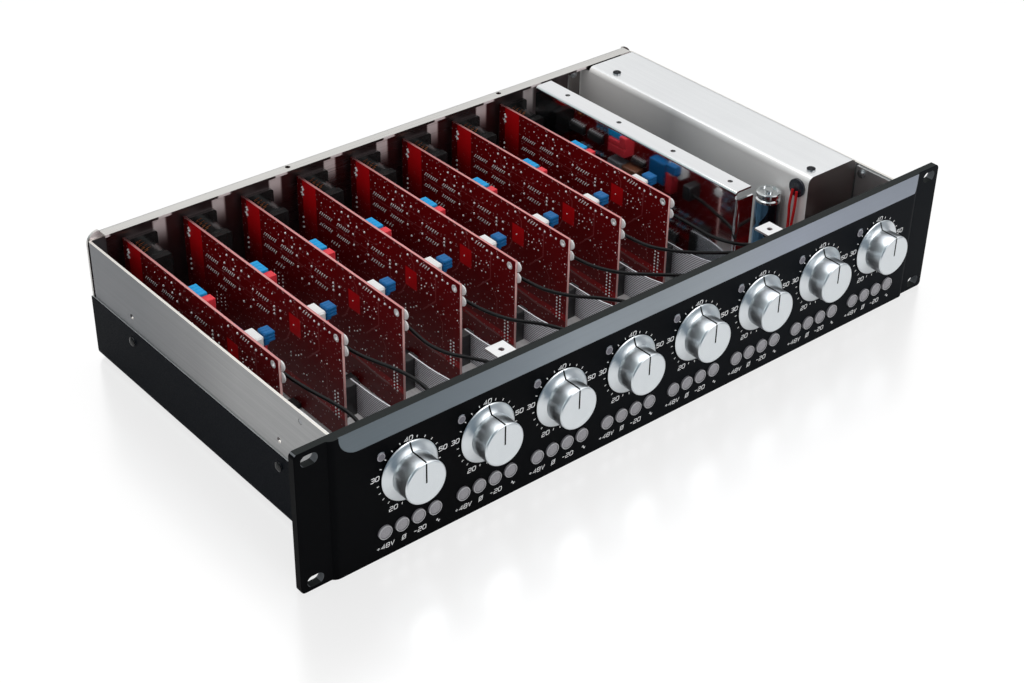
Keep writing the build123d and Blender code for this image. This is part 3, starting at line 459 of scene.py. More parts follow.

# %% [markdown]
# ## Black front panel and bottom cover
# The panel is one milled plate, anodised black after machining, but for a band along its top
# that leans back a little and stays bare. So the band needs no line drawn on it: a face that
# leans back by that much is bare. Across the width both the black and the band carry a painted
# reflection, and the top faces and the walls of the rack slots are painted lighter as a
# highlight. The cover is bent steel with black powder paint outside; its inside lies in the
# shade of the boards and shows pale metal.


# %% Black anodising with a bare band
def panel_finish():
    """Front panel: satin black with a painted reflection that lightens it toward the right, a
    lighter brushed band where the face leans back, with a painted reflection along it too, and
    a painted highlight on the top faces and the walls of the rack slots.
    """
    finish = Finish("panel_black")
    place = finish.place()
    ahead, above = finish.facing()[1:]
    band = finish.rise(above, 0.03, 0.05) * (ahead < -0.9) * (above < 0.2)
    grain = finish.noise(place, 2600.0, 2)
    streaks = finish.noise(place * along_x, 1.0, 5, 0.7)
    cloud = finish.noise(place, 12.0, 3)
    x = finish.parts(place)[0]
    # Painted reflection: the bare band's colour lightens from left to right.
    along = finish.ramp(finish.rise(x, -0.22, 0.225), [
        (0.0, "6e787e"), (0.12, "848d94"), (0.3, "a3abb2"), (0.5, "a6adb3"), (0.66, "b3bac1"),
        (0.85, "b1b7c4"), (1.0, "a3a9b5")])
    # Painted reflection: the black lightens from left to right, with a random cloud in its tone.
    black = finish.blend(finish.rise(x, -0.2, 0.2) * 0.75 + cloud * 0.25, tint("010102"),
                         tint("14171b"))
    bare = finish.blend(streaks * 0.35, along, tint("8a9096"))
    # Painted highlight: the top faces and the walls of the rack slots get lighter greys.
    top = above > 0.9
    slots = (abs(x) > 0.225) * (abs(ahead) < 0.5) * (abs(x) < 0.2405)
    dark = finish.blend(top, finish.blend(slots, black, tint("6a6e72")), tint("2c2f2f"))
    return finish.surface({
        "Base Color": finish.blend(band, dark, bare),
        "Metallic": band * 0.92,
        "Roughness": finish.rise(grain, 0.2, 0.8, 0.42, 0.5) - band * 0.08,
        "Specular IOR Level": 0.03,
        "Normal": finish.bump(grain * (1 - band) + streaks * band, 0.000006)})


panel_black = panel_finish()
print("Panel finish:", panel_black.name)

# %% Powder paint
inner_half_width = 0.2145


def painted_cover(name, code, roughness, scale):
    """Black powder paint outside, with a fine orange peel, and bare brushed metal inside."""
    finish = Finish(name)
    place = finish.place()
    above = finish.facing()[2]
    x, y, z = finish.parts(place)
    lines = finish.noise(place * (900, 6, 900), 1.0, 4, 0.7)
    inside = finish.either((above > 0.5) * (z < -0.03),
                           (abs(x) < inner_half_width) * (above > -0.5))
    peel = finish.noise(place, scale, 2)
    cloud = finish.noise(place, 7.0, 2)
    paint = finish.blend(cloud * 0.6 + peel * 0.4, tint(code), tint("080d15"))
    bare = finish.blend(lines, tint("b4b6b8"), tint("dcdddd"))
    return finish.surface({
        "Base Color": finish.blend(inside, paint, bare),
        "Metallic": inside * 0.9,
        "Roughness": finish.rise(peel, 0.3, 0.7, roughness - 0.05, roughness + 0.06),
        "Specular IOR Level": 0.04,
        "Normal": finish.bump(peel * (1 - inside), 0.00004)})


cover_black = painted_cover("cover_black", "03060b", 0.55, 1500.0)
print("Cover finish:", cover_black.name)

# %% [markdown]
# ## Turned knobs
# A lathe leaves rings finer than a hair. They turn every highlight into a narrow fan that
# swings round the middle of the face, and into bright bands along the grip. An anisotropic
# shader can do that, but a very fine ring-shaped bump does it with the real cause, so the
# finish measures how far a point is from the knob's own axis and raises a ring there.


# %% Spun aluminium
def spun(name, dark, light, roughness, ring=0.00022, depth=0.000004):
    """Turned aluminium. The piece's own Y axis is the axis of the lathe."""
    finish = Finish(name)
    place = finish.place()
    along = finish.parts(place)[1]
    radius = finish.node("ShaderNodeVectorMath", {"operation": "LENGTH"},
                         {0: place * (1, 0, 1)}, "Value")
    rings = finish.node("ShaderNodeTexNoise", {"noise_dimensions": "1D"},
                        {"W": (radius + along) / ring, "Scale": 1.0, "Detail": 2.0}, "Fac")
    patches = finish.noise(place, 160.0, 2)
    return finish.surface({
        "Base Color": finish.blend(rings * 0.7 + patches * 0.3, tint(dark), tint(light)),
        "Metallic": 1.0,
        "Roughness": finish.rise(patches, 0.3, 0.7, roughness - 0.015, roughness + 0.015),
        "Normal": finish.bump(rings, depth)})


knob_metal = spun("knob_spun", "d6dce0", "f0f4f6", 0.31)
print("Knob finish:", knob_metal.name)


# %% Screws and nuts
def screw_metal():
    """Steel screws, blackened ones in the black cover, and ones in the supply's lid darkened as
    painted shade, so that they read as shaded holes.
    """
    finish = Finish("screw_steel")
    place = finish.place()
    cloud = finish.noise(place, 600.0, 3)
    x, y, z = finish.parts(place)
    in_cover = abs(x) > inner_half_width + 0.001
    # Painted shade: screws in the supply's lid are darkened to read as shaded holes.
    lid_painted_shade = (z > 0.0425) * (abs(x) < 0.21)
    bare = finish.blend(cloud, tint("8b8d90"), tint("b5b7ba"))
    return finish.surface({
        "Base Color": finish.blend(in_cover, finish.blend(lid_painted_shade, bare, tint("232426")),
                                   tint("0a0b0d")),
        "Metallic": 1.0 - in_cover * 0.8,
        "Roughness": finish.rise(cloud, 0.3, 0.7, 0.26, 0.36),
        "Normal": finish.bump(cloud, 0.00002)})


steel = screw_metal()
nut_metal = brushed("nut_metal", "9fa1a4", "c6c8ca", 0.3, along_x)
print("Small metal:", steel.name, nut_metal.name)

# %% [markdown]
# ## Plastics and solder
# Moulded parts differ mostly in colour and gloss, so one function makes them all. A very fine
# noise in the gloss keeps them from looking like paint. Solder is a dull bright metal that
# never cools quite smooth, and copper contacts and a can's top are close cousins of it.


# %% Moulded plastic
def moulded(name, code, roughness=0.38, speckle=0.12, coat=0.0, shine=0.5):
    """Moulded plastic with a faint uneven gloss."""
    finish = Finish(name)
    place = finish.place()
    cloud = finish.noise(place, 220.0, 3)
    fine = finish.noise(place, 2400.0, 2)
    base = tint(code)
    paler = tuple(share + (1 - share) * speckle for share in base[:3]) + (1.0,)
    return finish.surface({
        "Base Color": finish.blend(cloud * 0.7 + fine * 0.3, base, paler),
        "Roughness": finish.rise(fine, 0.3, 0.7, roughness - 0.05, roughness + 0.06),
        "Coat Weight": coat, "Specular IOR Level": shine,
        "Normal": finish.bump(fine, 0.00001)})


cyan_plastic = moulded("trimmer_cyan", "009ddc", 0.34, 0.01, shine=0.2)
blue_plastic = moulded("plug_blue", "05629f", 0.36, 0.01, shine=0.2)
coral_plastic = moulded("relay_coral", "ea3844", 0.36, 0.02, shine=0.2)
white_plastic = moulded("header_white", "eceded")
black_plastic = moulded("plastic_black", "111114", 0.34, 0.05)
grey_plastic = moulded("capacitor_grey", "6d7076")
amber_film = moulded("film_amber", "8a4a1c", 0.3)
jack_black = moulded("jack_black", "040405", 0.2, 0.02)
resistor_blue = moulded("resistor_blue", "3f7fa6", 0.3)
print("Materials so far:", len(bpy.data.materials))


# %% Solder and copper
def bright_metal(name, dark, light, roughness, metallic=1.0):
    """Small bright metal parts, a little uneven."""
    finish = Finish(name)
    place = finish.place()
    cloud = finish.noise(place, 700.0, 3)
    return finish.surface({
        "Base Color": finish.blend(cloud, tint(dark), tint(light)), "Metallic": metallic,
        "Roughness": finish.rise(cloud, 0.3, 0.7, roughness - 0.08, roughness + 0.1),
        "Normal": finish.bump(cloud, 0.00003)})


solder = bright_metal("solder", "e6e8ea", "ffffff", 0.42, 0.25)
copper = bright_metal("contact_copper", "9a4f22", "d98a52", 0.28)
can_chrome = bright_metal("can_chrome", "b6b9bd", "eceeef", 0.16)
print("Bright metals:", solder.name, copper.name, can_chrome.name)

# %% [markdown]
# ## Red solder mask
# A board wears a thin, slightly glossy red varnish over its copper. Where the copper is wide
# the varnish looks lighter, where it is left open the red is brighter still, and pink glass
# fibre shows at the sawn edges. Hundreds of tiny plated holes dot both faces: cells of a
# Voronoi pattern give one near the middle of each cell.


# %% Varnish, openings and edges
bare_front, bare_back = 0.2266, 0.2416
holes_per_metre, hole_size = 230.0, 0.09


def board_mask(name, axis):
    """Red varnish on the faces square to an axis, with a bare brighter strip by the jacks that
    fades out downward as painted shade, and glass fibre at the edges, paler on the top edge
    as a painted highlight."""
    finish = Finish(name)
    place = finish.place()
    across, depth, height = finish.parts(place)
    facing = finish.facing()
    face = abs(facing[axis]) > 0.5
    cloud = finish.noise(place, 30.0, 3)
    weave = finish.noise(place, 1800.0, 2)
    strip = (finish.rise(depth, bare_front, bare_front + 0.0006)
             * finish.rise(depth, bare_back, bare_back - 0.0004))
    # Painted shade: the bright strip fades out toward the bottom of the board.
    strip = strip * finish.rise(height, -0.014, 0.022)
    pad = (finish.within(depth, 0.1240, 0.1359, 0.0008)
           * finish.within(height, 0.0070, 0.0205, 0.0008))
    ground_run = finish.within(height, -0.0264, -0.0214, 0.0004)
    flat = finish.node("ShaderNodeCombineXYZ", values={
        0: (depth, across)[axis], 1: height, 2: 0.0})
    dots = finish.node("ShaderNodeTexVoronoi", {"voronoi_dimensions": "2D"},
                       {"Vector": flat, "Scale": holes_per_metre}, "Distance") < hole_size
    plain = finish.blend(cloud, tint("5c0207"), tint("74040a"))
    varnish = finish.blend(ground_run * 0.8, plain, tint("a0040c"))
    dotted = finish.blend(dots * 0.55, varnish, tint("d9c3c5"))
    bare = finish.blend(weave, tint("b40911"), tint("cc0e18"))
    # Painted highlight: the top edge's fibre is paler than the other edges.
    top_edge_painted_highlight = facing[2] > 0.5
    fibre = finish.blend(top_edge_painted_highlight, finish.blend(weave, tint("cf8f8c"), tint("f0cdca")),
                         finish.blend(weave, tint("cf8284"), tint("f0b4b2")))
    painted = finish.blend(finish.either(strip, pad), dotted, bare)
    return finish.surface({
        "Base Color": finish.blend(face, fibre, painted),
        "Roughness": finish.rise(weave, 0.3, 0.7, 0.30, 0.38),
        "Coat Weight": face * 0.04, "Coat Roughness": 0.2, "Specular IOR Level": 0.14,
        "Normal": finish.bump(weave, 0.000012)})


board_red, control_red = board_mask("board_red", 0), board_mask("control_red", 1)
trace_red = moulded("trace_red", "7d0b13", 0.3, 0.05, 0.4)
print("Board finishes:", board_red.name, control_red.name, trace_red.name)

# %% [markdown]
# ## Ribbon cable and leads
# A ribbon cable is a row of thin round conductors moulded side by side. The ribbons lie with
# their width upright for most of their way, so a wave that runs up them draws the stripes, with
# painted shade in the groove between every two conductors. The leads are plain black; the two
# beside the supply box are red.

# %% Ribbon
conductor_pitch = 0.00127


def striped_ribbon():
    """Flat cable of grey conductors, side by side, with painted shade in the groove between
    every two.
    """
    finish = Finish("ribbon_grey")
    place = finish.place()
    height = finish.parts(place)[2]
    ridge = finish.wave(height * (2 * math.pi / conductor_pitch)) * 0.5 + 0.5
    cloud = finish.noise(place, 60.0, 2)
    # Painted shade: the colour darkens in the groove between two conductors.
    grey = finish.blend(finish.rise(ridge, 0.05, 0.6), tint("3a3c42"), tint("f0f2f8"))
    return finish.surface({
        "Base Color": finish.blend(cloud * 0.1, grey, tint("a9adb4")),
        "Roughness": finish.rise(cloud, 0.3, 0.7, 0.38, 0.46),
        "Normal": finish.bump(cloud, 0.00002)})


ribbon_grey = striped_ribbon()
print("Ribbon finish:", ribbon_grey.name)


# %% Leads
def lead_jackets():
    """Black signal leads, and red supply wires beside the supply box."""
    finish = Finish("lead_jackets")
    place = finish.place()
    across, depth = finish.parts(place)[:2]
    supply_side = (across > 0.147) * (depth > 0.036)
    cloud = finish.noise(place, 300.0, 2)
    jacket = finish.blend(supply_side, tint("060607"), tint("c01c20"))
    return finish.surface({
        "Base Color": finish.blend(cloud * 0.06, jacket, tint("3a3a40")),
        "Specular IOR Level": 0.2,
        "Roughness": finish.rise(cloud, 0.3, 0.7, 0.4, 0.5)})


lead_jacket = lead_jackets()
print("Lead finish:", lead_jacket.name)

# %% [markdown]
# ## The smoothing capacitor
# One node holds the tall can and the rubber grommet beside it. The can has a bright crimped
# lid over a dark glossy sleeve, and a pale wavy stripe runs down the sleeve's left side. The
# finish finds the can by its depth, so that one material serves the whole node.

# %% Can and grommet
can_front, lid_edge = 0.0495, 0.0205


def can_and_grommet():
    """A bright lid and a dark striped sleeve on the can, and plain rubber on the grommet."""
    finish = Finish("capacitor_sleeve")
    place = finish.place()
    x, y, z = finish.parts(place)
    cloud = finish.noise(place, 260.0, 3)
    is_can = y > can_front
    lid = is_can * (z > lid_edge)
    stripe = is_can * (x + finish.wave(z * 260.0) * 0.0012 < 0.1498) * (z < lid_edge)
    sleeve = finish.blend(stripe, finish.blend(cloud, tint("1a1c24"), tint("262a35")),
                          tint("5f8cae"))
    return finish.surface({
        "Base Color": finish.blend(lid, sleeve, tint("d8dadb")),
        "Metallic": finish.either(lid, is_can * 0.7),
        "Roughness": finish.rise(cloud, 0.3, 0.7, 0.12, 0.22),
        "Normal": finish.bump(cloud, 0.00002)})


capacitor_finish = can_and_grommet()
print("Materials with the can:", len(bpy.data.materials))

# %% [markdown]
# ## Dressing the CAD nodes
# A CAD node whose shape is right stays where it is and only gets a better finish. Its own
# material slots are emptied first, because the packed colours are plain.


# %% Finishes for the CAD nodes
def dress(node, finish):
    """Gives a CAD node one finish."""
    mesh = nodes[node].data
    mesh.materials.clear()
    mesh.materials.append(finish)


for node, finish in {
    "front_panel": panel_black, "front_bracket": bracket_finish, "side_rails": rail_finish,
    "rear_panel": rear_finish, "bottom_cover": cover_black, "channel_boards": board_red,
    "control_board": control_red, "ribbon_cables": ribbon_grey,
    "signal_leads": lead_jacket, "xlr_connectors": jack_black, "mains_inlet": black_plastic,
    "shield_divider": divider_finish, "power_supply_box": sheet_finish,
    "power_supply_module": grey_plastic, "smoothing_capacitor": capacitor_finish,
    "screws": steel, "panel_switches": nut_metal, "indicator_lenses": grey_plastic,
    "board_components": grey_plastic, "board_rail": black_plastic,
}.items():
    dress(node, finish)
print("Nodes with one finish or more:", sum(bool(item.data.materials) for item in nodes.values()))

# %% [markdown]
# ## A helper for making pieces
# Small hardware is easiest to make as lists of points and faces: a block with its edges cut
# back, a form turned on a lathe, a flat strip that follows a line. Sizes are written in
# millimetres, as on a drawing, and become metres once, when the mesh is made. Faces that meet
# at a sharp angle stay crisp and all others are shaded smooth.


# %% Points, faces and the finished mesh
class Faces:
    """Points and faces of a piece, in millimetres, and the finish that each face wears."""

    def __init__(self):
        self.points, self.faces, self.worn, self.finishes = [], [], [], []

    def add(self, points, faces, finish):
        first = len(self.points)
        self.points += [tuple(point) for point in points]
        if finish not in self.finishes:
            self.finishes.append(finish)
        self.faces += [[first + corner for corner in face] for face in faces]
        self.worn += [self.finishes.index(finish)] * len(faces)

    def mesh(self, name):
        """The finished mesh, in metres."""
        made = bpy.data.meshes.new(name)
        made.from_pydata([[0.001 * number for number in point] for point in self.points],
                         [], self.faces)
        for finish in self.finishes:
            made.materials.append(finish)
        made.polygons.foreach_set("material_index", self.worn)
        tidy = bmesh.new()
        tidy.from_mesh(made)
        bmesh.ops.recalc_face_normals(tidy, faces=tidy.faces)
        tidy.to_mesh(made)
        tidy.free()
        made.polygons.foreach_set("use_smooth", [True] * len(made.polygons))
        made.set_sharp_from_angle(angle=math.radians(38))
        return made


print("A new form has", len(Faces().points), "points")


# %% Blocks
class Blocks(Faces):
    """Faces that can be added block by block."""

    def block(self, low, high, finish, edge=0.2):
        """Block between two opposite corners, with its edges cut back."""
        corners = [(i, j, k) for i in (0, 1) for j in (0, 1) for k in (0, 1)]
        points = []
        for corner in corners:
            for axis in range(3):
                point = [(low, high)[corner[n]][n] for n in range(3)]
                for other in range(3):
                    if other != axis:
                        point[other] += edge if corner[other] == 0 else -edge
                points.append(point)

        def number(corner, axis):
            return 3 * corners.index(tuple(corner)) + axis

        faces = [[3 * n, 3 * n + 1, 3 * n + 2] for n in range(8)]
        for axis in range(3):
            one, two = [n for n in range(3) if n != axis]
            for side in (0, 1):
                ring = []
                for first, second in ((0, 0), (1, 0), (1, 1), (0, 1)):
                    corner = [side] * 3
                    corner[one], corner[two] = first, second
                    ring.append(number(corner, axis))
                faces.append(ring)
            for first in (0, 1):
                for second in (0, 1):
                    ends = []
                    for side in (0, 1):
                        corner = [side] * 3
                        corner[one], corner[two] = first, second
                        ends.append(corner)
                    faces.append([number(ends[0], one), number(ends[1], one),
                                  number(ends[1], two), number(ends[0], two)])
        self.add(points, faces, finish)


cube = Blocks()
cube.block((0, 0, 0), (1, 1, 1), steel)
print("A block with cut edges has", len(cube.faces), "faces")


# %% Turned forms and strips
class Form(Blocks):
    """Blocks, and also forms turned on a lathe and flat strips along a line."""

    def turn(self, outline, finish, base=(0, 0, 0), axis=(0, 0, 1), steps=20):
        """Form turned about an axis through base: outline gives (distance along, radius)."""
        turnabout = Vector(axis).to_track_quat("Z", "Y").to_matrix()
        points, rings, faces = [], [], []
        for along, radius in outline:
            count = 1 if radius == 0 else steps
            rings.append([len(points) + n for n in range(count)])
            for n in range(count):
                angle = 2 * math.pi * n / steps
                spot = Vector((radius * math.cos(angle), radius * math.sin(angle), along))
                points.append(Vector(base) + turnabout @ spot)
        for first, second in zip(rings, rings[1:]):
            for n in range(steps):
                ring = [first[n % len(first)], first[(n + 1) % len(first)],
                        second[(n + 1) % len(second)], second[n % len(second)]]
                kept = list(dict.fromkeys(ring))
                if len(kept) > 2:
                    faces.append(kept)
        self.add(points, faces, finish)

    def strip(self, line, width, finish, lie, closed=False):
        """Flat strip along a line of (a, b) pairs. Lie turns a pair into a point."""
        count = len(line)
        left, right = [], []
        for n, (a, b) in enumerate(line):
            before = line[(n - 1) % count] if closed or n > 0 else None
            after = line[(n + 1) % count] if closed or n < count - 1 else None
            ways = [Vector((a - before[0], b - before[1])).normalized()] if before else []
            ways += [Vector((after[0] - a, after[1] - b)).normalized()] if after else []
            mean = sum(ways, Vector((0, 0))).normalized()
            side = Vector((-mean.y, mean.x))
            reach = width / 2 / max(0.5, abs(side.dot(Vector((-ways[0].y, ways[0].x)))))
            left.append(lie(a + side.x * reach, b + side.y * reach))
            right.append(lie(a - side.x * reach, b - side.y * reach))
        last = count if closed else count - 1
        faces = [[n, (n + 1) % count, count + (n + 1) % count, count + n] for n in range(last)]
        self.add(left + right, faces, finish)


ring_form = Form()
ring_form.turn([(0, 1), (1, 1)], steel)
print("A turned ring has", len(ring_form.faces), "faces")


# %% Putting pieces in the scene
def fit(name, mesh, body, at=(0, 0, 0), stands_for=()):
    """Puts a piece in the scene, on its body, and hides the CAD nodes that it stands for."""
    piece = bpy.data.objects.new(name, mesh)
    piece.location = [0.001 * number for number in at]
    bpy.context.scene.collection.objects.link(piece)
    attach(piece, body)
    if stands_for:
        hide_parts(*stands_for)
    return piece


def middle(node):
    """Middle of a CAD node's box, in millimetres."""
    low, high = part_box(node)
    return (low + high) * 500


channels = range(1, 9)
print("First knob turns about", [round(number, 2) for number in middle("knob_1")])

# %% [markdown]
# ## The knobs
# Each knob is one turned piece: a thin skirt, a hollow cone, a plain grip and a flat face with
# a small bright bevel. The CAD has the same outline with few facets. Here the outline is
# turned in 128 steps, so that the bands of light along the grip run smoothly, and the line
# that points to the scale is a filled black groove.

# %% Sizes of a knob
panel_face = -6.36
knob_gap, skirt_thickness, cone_length, grip_length = 0.5, 0.6, 2.2, 11.5
skirt_radius, grip_radius, bevel = 18.0, 12.95, 0.9
skirt_back = knob_gap
skirt_front = skirt_back + skirt_thickness
cone_front = skirt_front + cone_length
knob_front = cone_front + grip_length


def cone_outline():
    """The cone, from the skirt's rim up to the grip, with a little hollow at its foot."""
    steps = 8
    for n in range(1, steps):
        share = n / steps
        sag = 0.16 * math.sin(math.pi * share)
        yield (skirt_front + cone_length * share - sag,
               skirt_radius + (grip_radius - skirt_radius) * share - sag)


print("A knob stands", round(knob_front, 2), "mm before the panel")

# %% Outline of a knob
knob_outline = [(skirt_back + 4.5, 0), (skirt_back + 4.5, 8.5), (skirt_back, 8.5),
                (skirt_back, skirt_radius - 0.15), (skirt_back + 0.15, skirt_radius),
                (skirt_front - 0.2, skirt_radius), (skirt_front, skirt_radius - 0.25),
                *cone_outline(), (cone_front, grip_radius),
                (knob_front - bevel, grip_radius),
                (knob_front - 0.62 * bevel, grip_radius - 0.1 * bevel),
                (knob_front - 0.1 * bevel, grip_radius - 0.7 * bevel),
                (knob_front, grip_radius - bevel)]
knob_outline += [(knob_front, radius) for radius in (11.0, 8.0, 5.0, 2.5, 0.8)]
knob_outline += [(knob_front, 0)]
print("Points in the outline:", len(knob_outline))

# %% Knob and its line
line_black = moulded("mark_black", "030304", 0.6, 0.01, shine=0.05)
knob_form = Form()
knob_form.turn(knob_outline, knob_metal, axis=(0, -1, 0), steps=128)
mark = [(0.0, -knob_front), (grip_radius - bevel, -knob_front),
        (grip_radius - 0.1 * bevel, 0.62 * bevel - knob_front),
        (grip_radius, bevel - knob_front), (grip_radius, -cone_front)]
mark += [(radius, -along) for along, radius in reversed(list(cone_outline()))]
mark += [(skirt_radius - 0.25, -skirt_front)]
lift, mark_half = 0.05, 0.5
rows = [((x, along - lift, radius + lift) if n > 1 else (x, along - lift, radius))
        for x in (-mark_half, mark_half) for n, (radius, along) in enumerate(mark)]
count = len(mark)
knob_form.add(rows, [[n, n + 1, count + n + 1, count + n] for n in range(count - 1)], line_black)
knob_mesh = knob_form.mesh("knob")
print("Knob faces:", len(knob_mesh.polygons))

# %% Knobs on their joints
for channel in channels:
    x, y, z = middle(f"knob_{channel}")
    fit(f"turned_knob_{channel}", knob_mesh, f"knob_{channel}",
        (x, panel_face, z), (f"knob_{channel}",))
print("Knobs fitted:", len(channels))

# %% [markdown]
# ## Buttons and status lights
# A push button is a satin grey cap with a raised bright rim, a dark groove inside it and a
# shallow dome. A status light is a small round lens in a black bezel. Both are turned forms;
# the groove is modelled, because a bump has no shadow of its own.

# %% Button cap
button_grey = moulded("button_grey", "8a888e", 0.24, 0.1, 0.5)
button_rim = moulded("button_rim", "b4b4b8", 0.34, 0.1, 0.2)
button_shade = moulded("button_shade", "4b4a4e", 0.4, 0.05)
button_radius, button_proud = 4.25, 1.3
button_form = Form()
button_form.turn([(-4.0, 0), (-4.0, button_radius), (button_proud - 0.55, button_radius)],
                 button_grey, axis=(0, -1, 0), steps=64)
button_form.turn([(button_proud - 0.55, button_radius), (button_proud - 0.2, button_radius - 0.12),
                  (button_proud - 0.12, button_radius - 0.35),
                  (button_proud - 0.2, button_radius - 0.6)], button_rim,
                 axis=(0, -1, 0), steps=64)
# Painted shade: the groove inside the rim wears a darker grey.
button_form.turn([(button_proud - 0.2, button_radius - 0.6),
                  (button_proud - 0.42, button_radius - 0.7),
                  (button_proud - 0.4, button_radius - 0.85)], button_shade,
                 axis=(0, -1, 0), steps=64)
dome = [(button_proud - 0.4 + 0.4 * math.cos(math.pi / 2 * n / 7),
         (button_radius - 0.85) * math.sin(math.pi / 2 * n / 7)) for n in range(7, 0, -1)]
button_form.turn(dome + [(button_proud, 0)], button_grey, axis=(0, -1, 0), steps=64)
button_mesh = button_form.mesh("button")
print("Button faces:", len(button_mesh.polygons))

# %% Buttons on their joints
for channel in channels:
    for place in "abcd":
        node = f"button_{channel}_{place}"
        x, y, z = middle(node)
        fit(f"cap_{channel}_{place}", button_mesh, node, (x, panel_face, z), (node,))

# %% Status lights
lens_middle = middle("indicator_lenses")
lens_low, lens_high = (1000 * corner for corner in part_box("indicator_lenses"))
lens_x = (lens_low.x + lens_high.x) / 2 - (middle("knob_1").x + middle("knob_8").x) / 2
lens_radius, bezel_radius, lens_proud = 2.42, 3.15, 0.5
lens_grey = moulded("lens_grey", "66636b", 0.22, 0.08, 0.4)
# Painted highlight: the lens's rim is a lighter grey than its middle.
lens_rim_painted_highlight = moulded("lens_rim_painted_highlight", "97959d", 0.3, 0.08, 0.2)
lens_form = Form()
lens_form.turn([(-2.0, 0), (-2.0, 1.9), (0.02, 1.9), (0.02, bezel_radius - 0.1),
                (0.06, bezel_radius - 0.1), (0.09, lens_radius + 0.05)], panel_black,
               axis=(0, -1, 0), steps=40)
lens_form.turn([(0.0, lens_radius), (lens_proud - 0.25, lens_radius),
                (lens_proud - 0.05, lens_radius - 0.22), (lens_proud - 0.1, lens_radius - 0.5)],
               lens_rim_painted_highlight, axis=(0, -1, 0), steps=40)
lens_form.turn([(lens_proud - 0.1, lens_radius - 0.5), (lens_proud - 0.02, lens_radius * 0.45),
                (lens_proud, 0)], lens_grey, axis=(0, -1, 0), steps=40)
lens_mesh = lens_form.mesh("status_light")
for channel in channels:
    stands_for = ("indicator_lenses",) if channel == 1 else ()
    fit(f"status_light_{channel}", lens_mesh, "chassis",
        (middle(f"knob_{channel}").x + lens_x, panel_face, lens_middle.z), stands_for)
print("Status lights stand", round(lens_x, 2), "mm beside their knobs")

# %% [markdown]
# ## Printing on the panel
# White ink, screen printed: a ring of short ticks round every knob, the gain in plain numbers,
# and a generic mark under each button. Text objects would bring a typeface with them, so each
# sign is drawn as a few pen strokes on a grid of four by six, and each stroke becomes a flat
# strip that lies a hair in front of the face.

# %% Signs as pen strokes
ring = [(0.8, 0), (3.2, 0), (4, 0.8), (4, 5.2), (3.2, 6), (0.8, 6), (0, 5.2), (0, 0.8)]
signs = {
    "0": [ring + ring[:1]],
    "2": [[(0, 6), (3.3, 6), (4, 5.3), (4, 3.8), (3.3, 3.1), (0.7, 3.1), (0, 2.4), (0, 0), (4, 0)]],
    "3": [[(0, 6), (3.3, 6), (4, 5.3), (4, 0.7), (3.3, 0), (0, 0)], [(1, 3.1), (4, 3.1)]],
    "4": [[(3.1, 0), (3.1, 6), (0, 1.8), (4.3, 1.8)]],
    "5": [[(4, 6), (0, 6), (0, 3.4), (3.3, 3.4), (4, 2.7), (4, 0.7), (3.3, 0), (0, 0)]],
    "6": [[(3.8, 6), (0.7, 6), (0, 5.3), (0, 0.7), (0.7, 0), (3.3, 0), (4, 0.7), (4, 2.7),
           (3.3, 3.4), (0, 3.4)]],
    "8": [ring + ring[:1], [(0, 3.1), (4, 3.1)]],
    "+": [[(0.3, 3), (3.7, 3)], [(2, 1.3), (2, 4.7)]],
    "-": [[(0.6, 3), (3.4, 3)]],
    "o": [ring + ring[:1], [(-0.5, -0.8), (4.5, 6.8)]],
    "V": [[(0.2, 6), (2, 0), (4.2, 6)]],
    "~": [[(0.35 * n, 3 + 2.2 * math.sin(math.pi * n / 6)) for n in range(13)]],
}
print("Signs drawn:", "".join(signs))

# %% White ink
ink = moulded("white_ink", "f2f3f4", 0.5, 0.05)
ink_face = panel_face - 0.03
sign_height, pen_width = 2.6, 0.46
ink_form = Form()


def on_panel(x, z):
    return (x, ink_face, z)


def letter(text, x, z):
    """Prints a wide, slanted text with its middle at x, z."""
    unit, stretch, slant = sign_height / 6, 1.22, 0.15
    advance = 5.6 * unit * stretch
    start = x - (advance * (len(text) - 1) + 4 * unit * stretch) / 2
    for place, sign in enumerate(text):
        for stroke in signs[sign]:
            line = [(start + place * advance + a * unit * stretch + (b - 3) * unit * slant,
                     z - sign_height / 2 + b * unit) for a, b in stroke]
            ink_form.strip(line, pen_width, ink, on_panel)


print("Ink lies", round(panel_face - ink_face, 2), "mm before the face")

# %% Scales and marks
gains = [(-152, "20", 22.1), (-80, "30", 21.8), (0, "40", 19.75), (80, "50", 22.3),
         (152, "60", 22.1)]
tick_ring, tick_length, ring_height, tick_steps = 19.8, 1.35, 4.75, 5
button_marks = (("+48V", -16.1), ("o", -4.1), ("-20", 6.3), ("~", 18.3))
marks_level = -37.3


def tick(x, angle):
    """One short line of the scale, square to the ring."""
    turn = Vector((math.sin(math.radians(angle)), math.cos(math.radians(angle))))
    ends = [Vector((x, ring_height)) + turn * (tick_ring + half * tick_length)
            for half in (-0.5, 0.5)]
    ink_form.strip([tuple(end) for end in ends], 0.5, ink, on_panel)


for channel in channels:
    x = middle(f"knob_{channel}").x
    for angle, text, reach in gains:
        turn = math.radians(angle)
        letter(text, x + reach * math.sin(turn), ring_height + reach * math.cos(turn))
    for (start, *_), (end, *_) in zip(gains, gains[1:]):
        for step in range(1, tick_steps):
            tick(x, start + (end - start) * step / tick_steps)
    for angle in (-166, 180, 166):
        tick(x, angle)
    for mark_text, shift in button_marks:
        letter(mark_text, x + shift, marks_level)
fit("panel_printing", ink_form.mesh("panel_printing"), "chassis")
print("Printed strips:", len(ink_form.faces))

# %% [markdown]
# ## The circuit boards
# Eight boards stand on edge in a row, all cut alike: one lower corner is cut back and a screw
# hole lies near the upper front corner. A flat outline with a hole in it is easiest as a
# filled curve, because Blender closes the face round the hole by itself. The curve then
# becomes a mesh that is stood on edge, and eight objects share it.

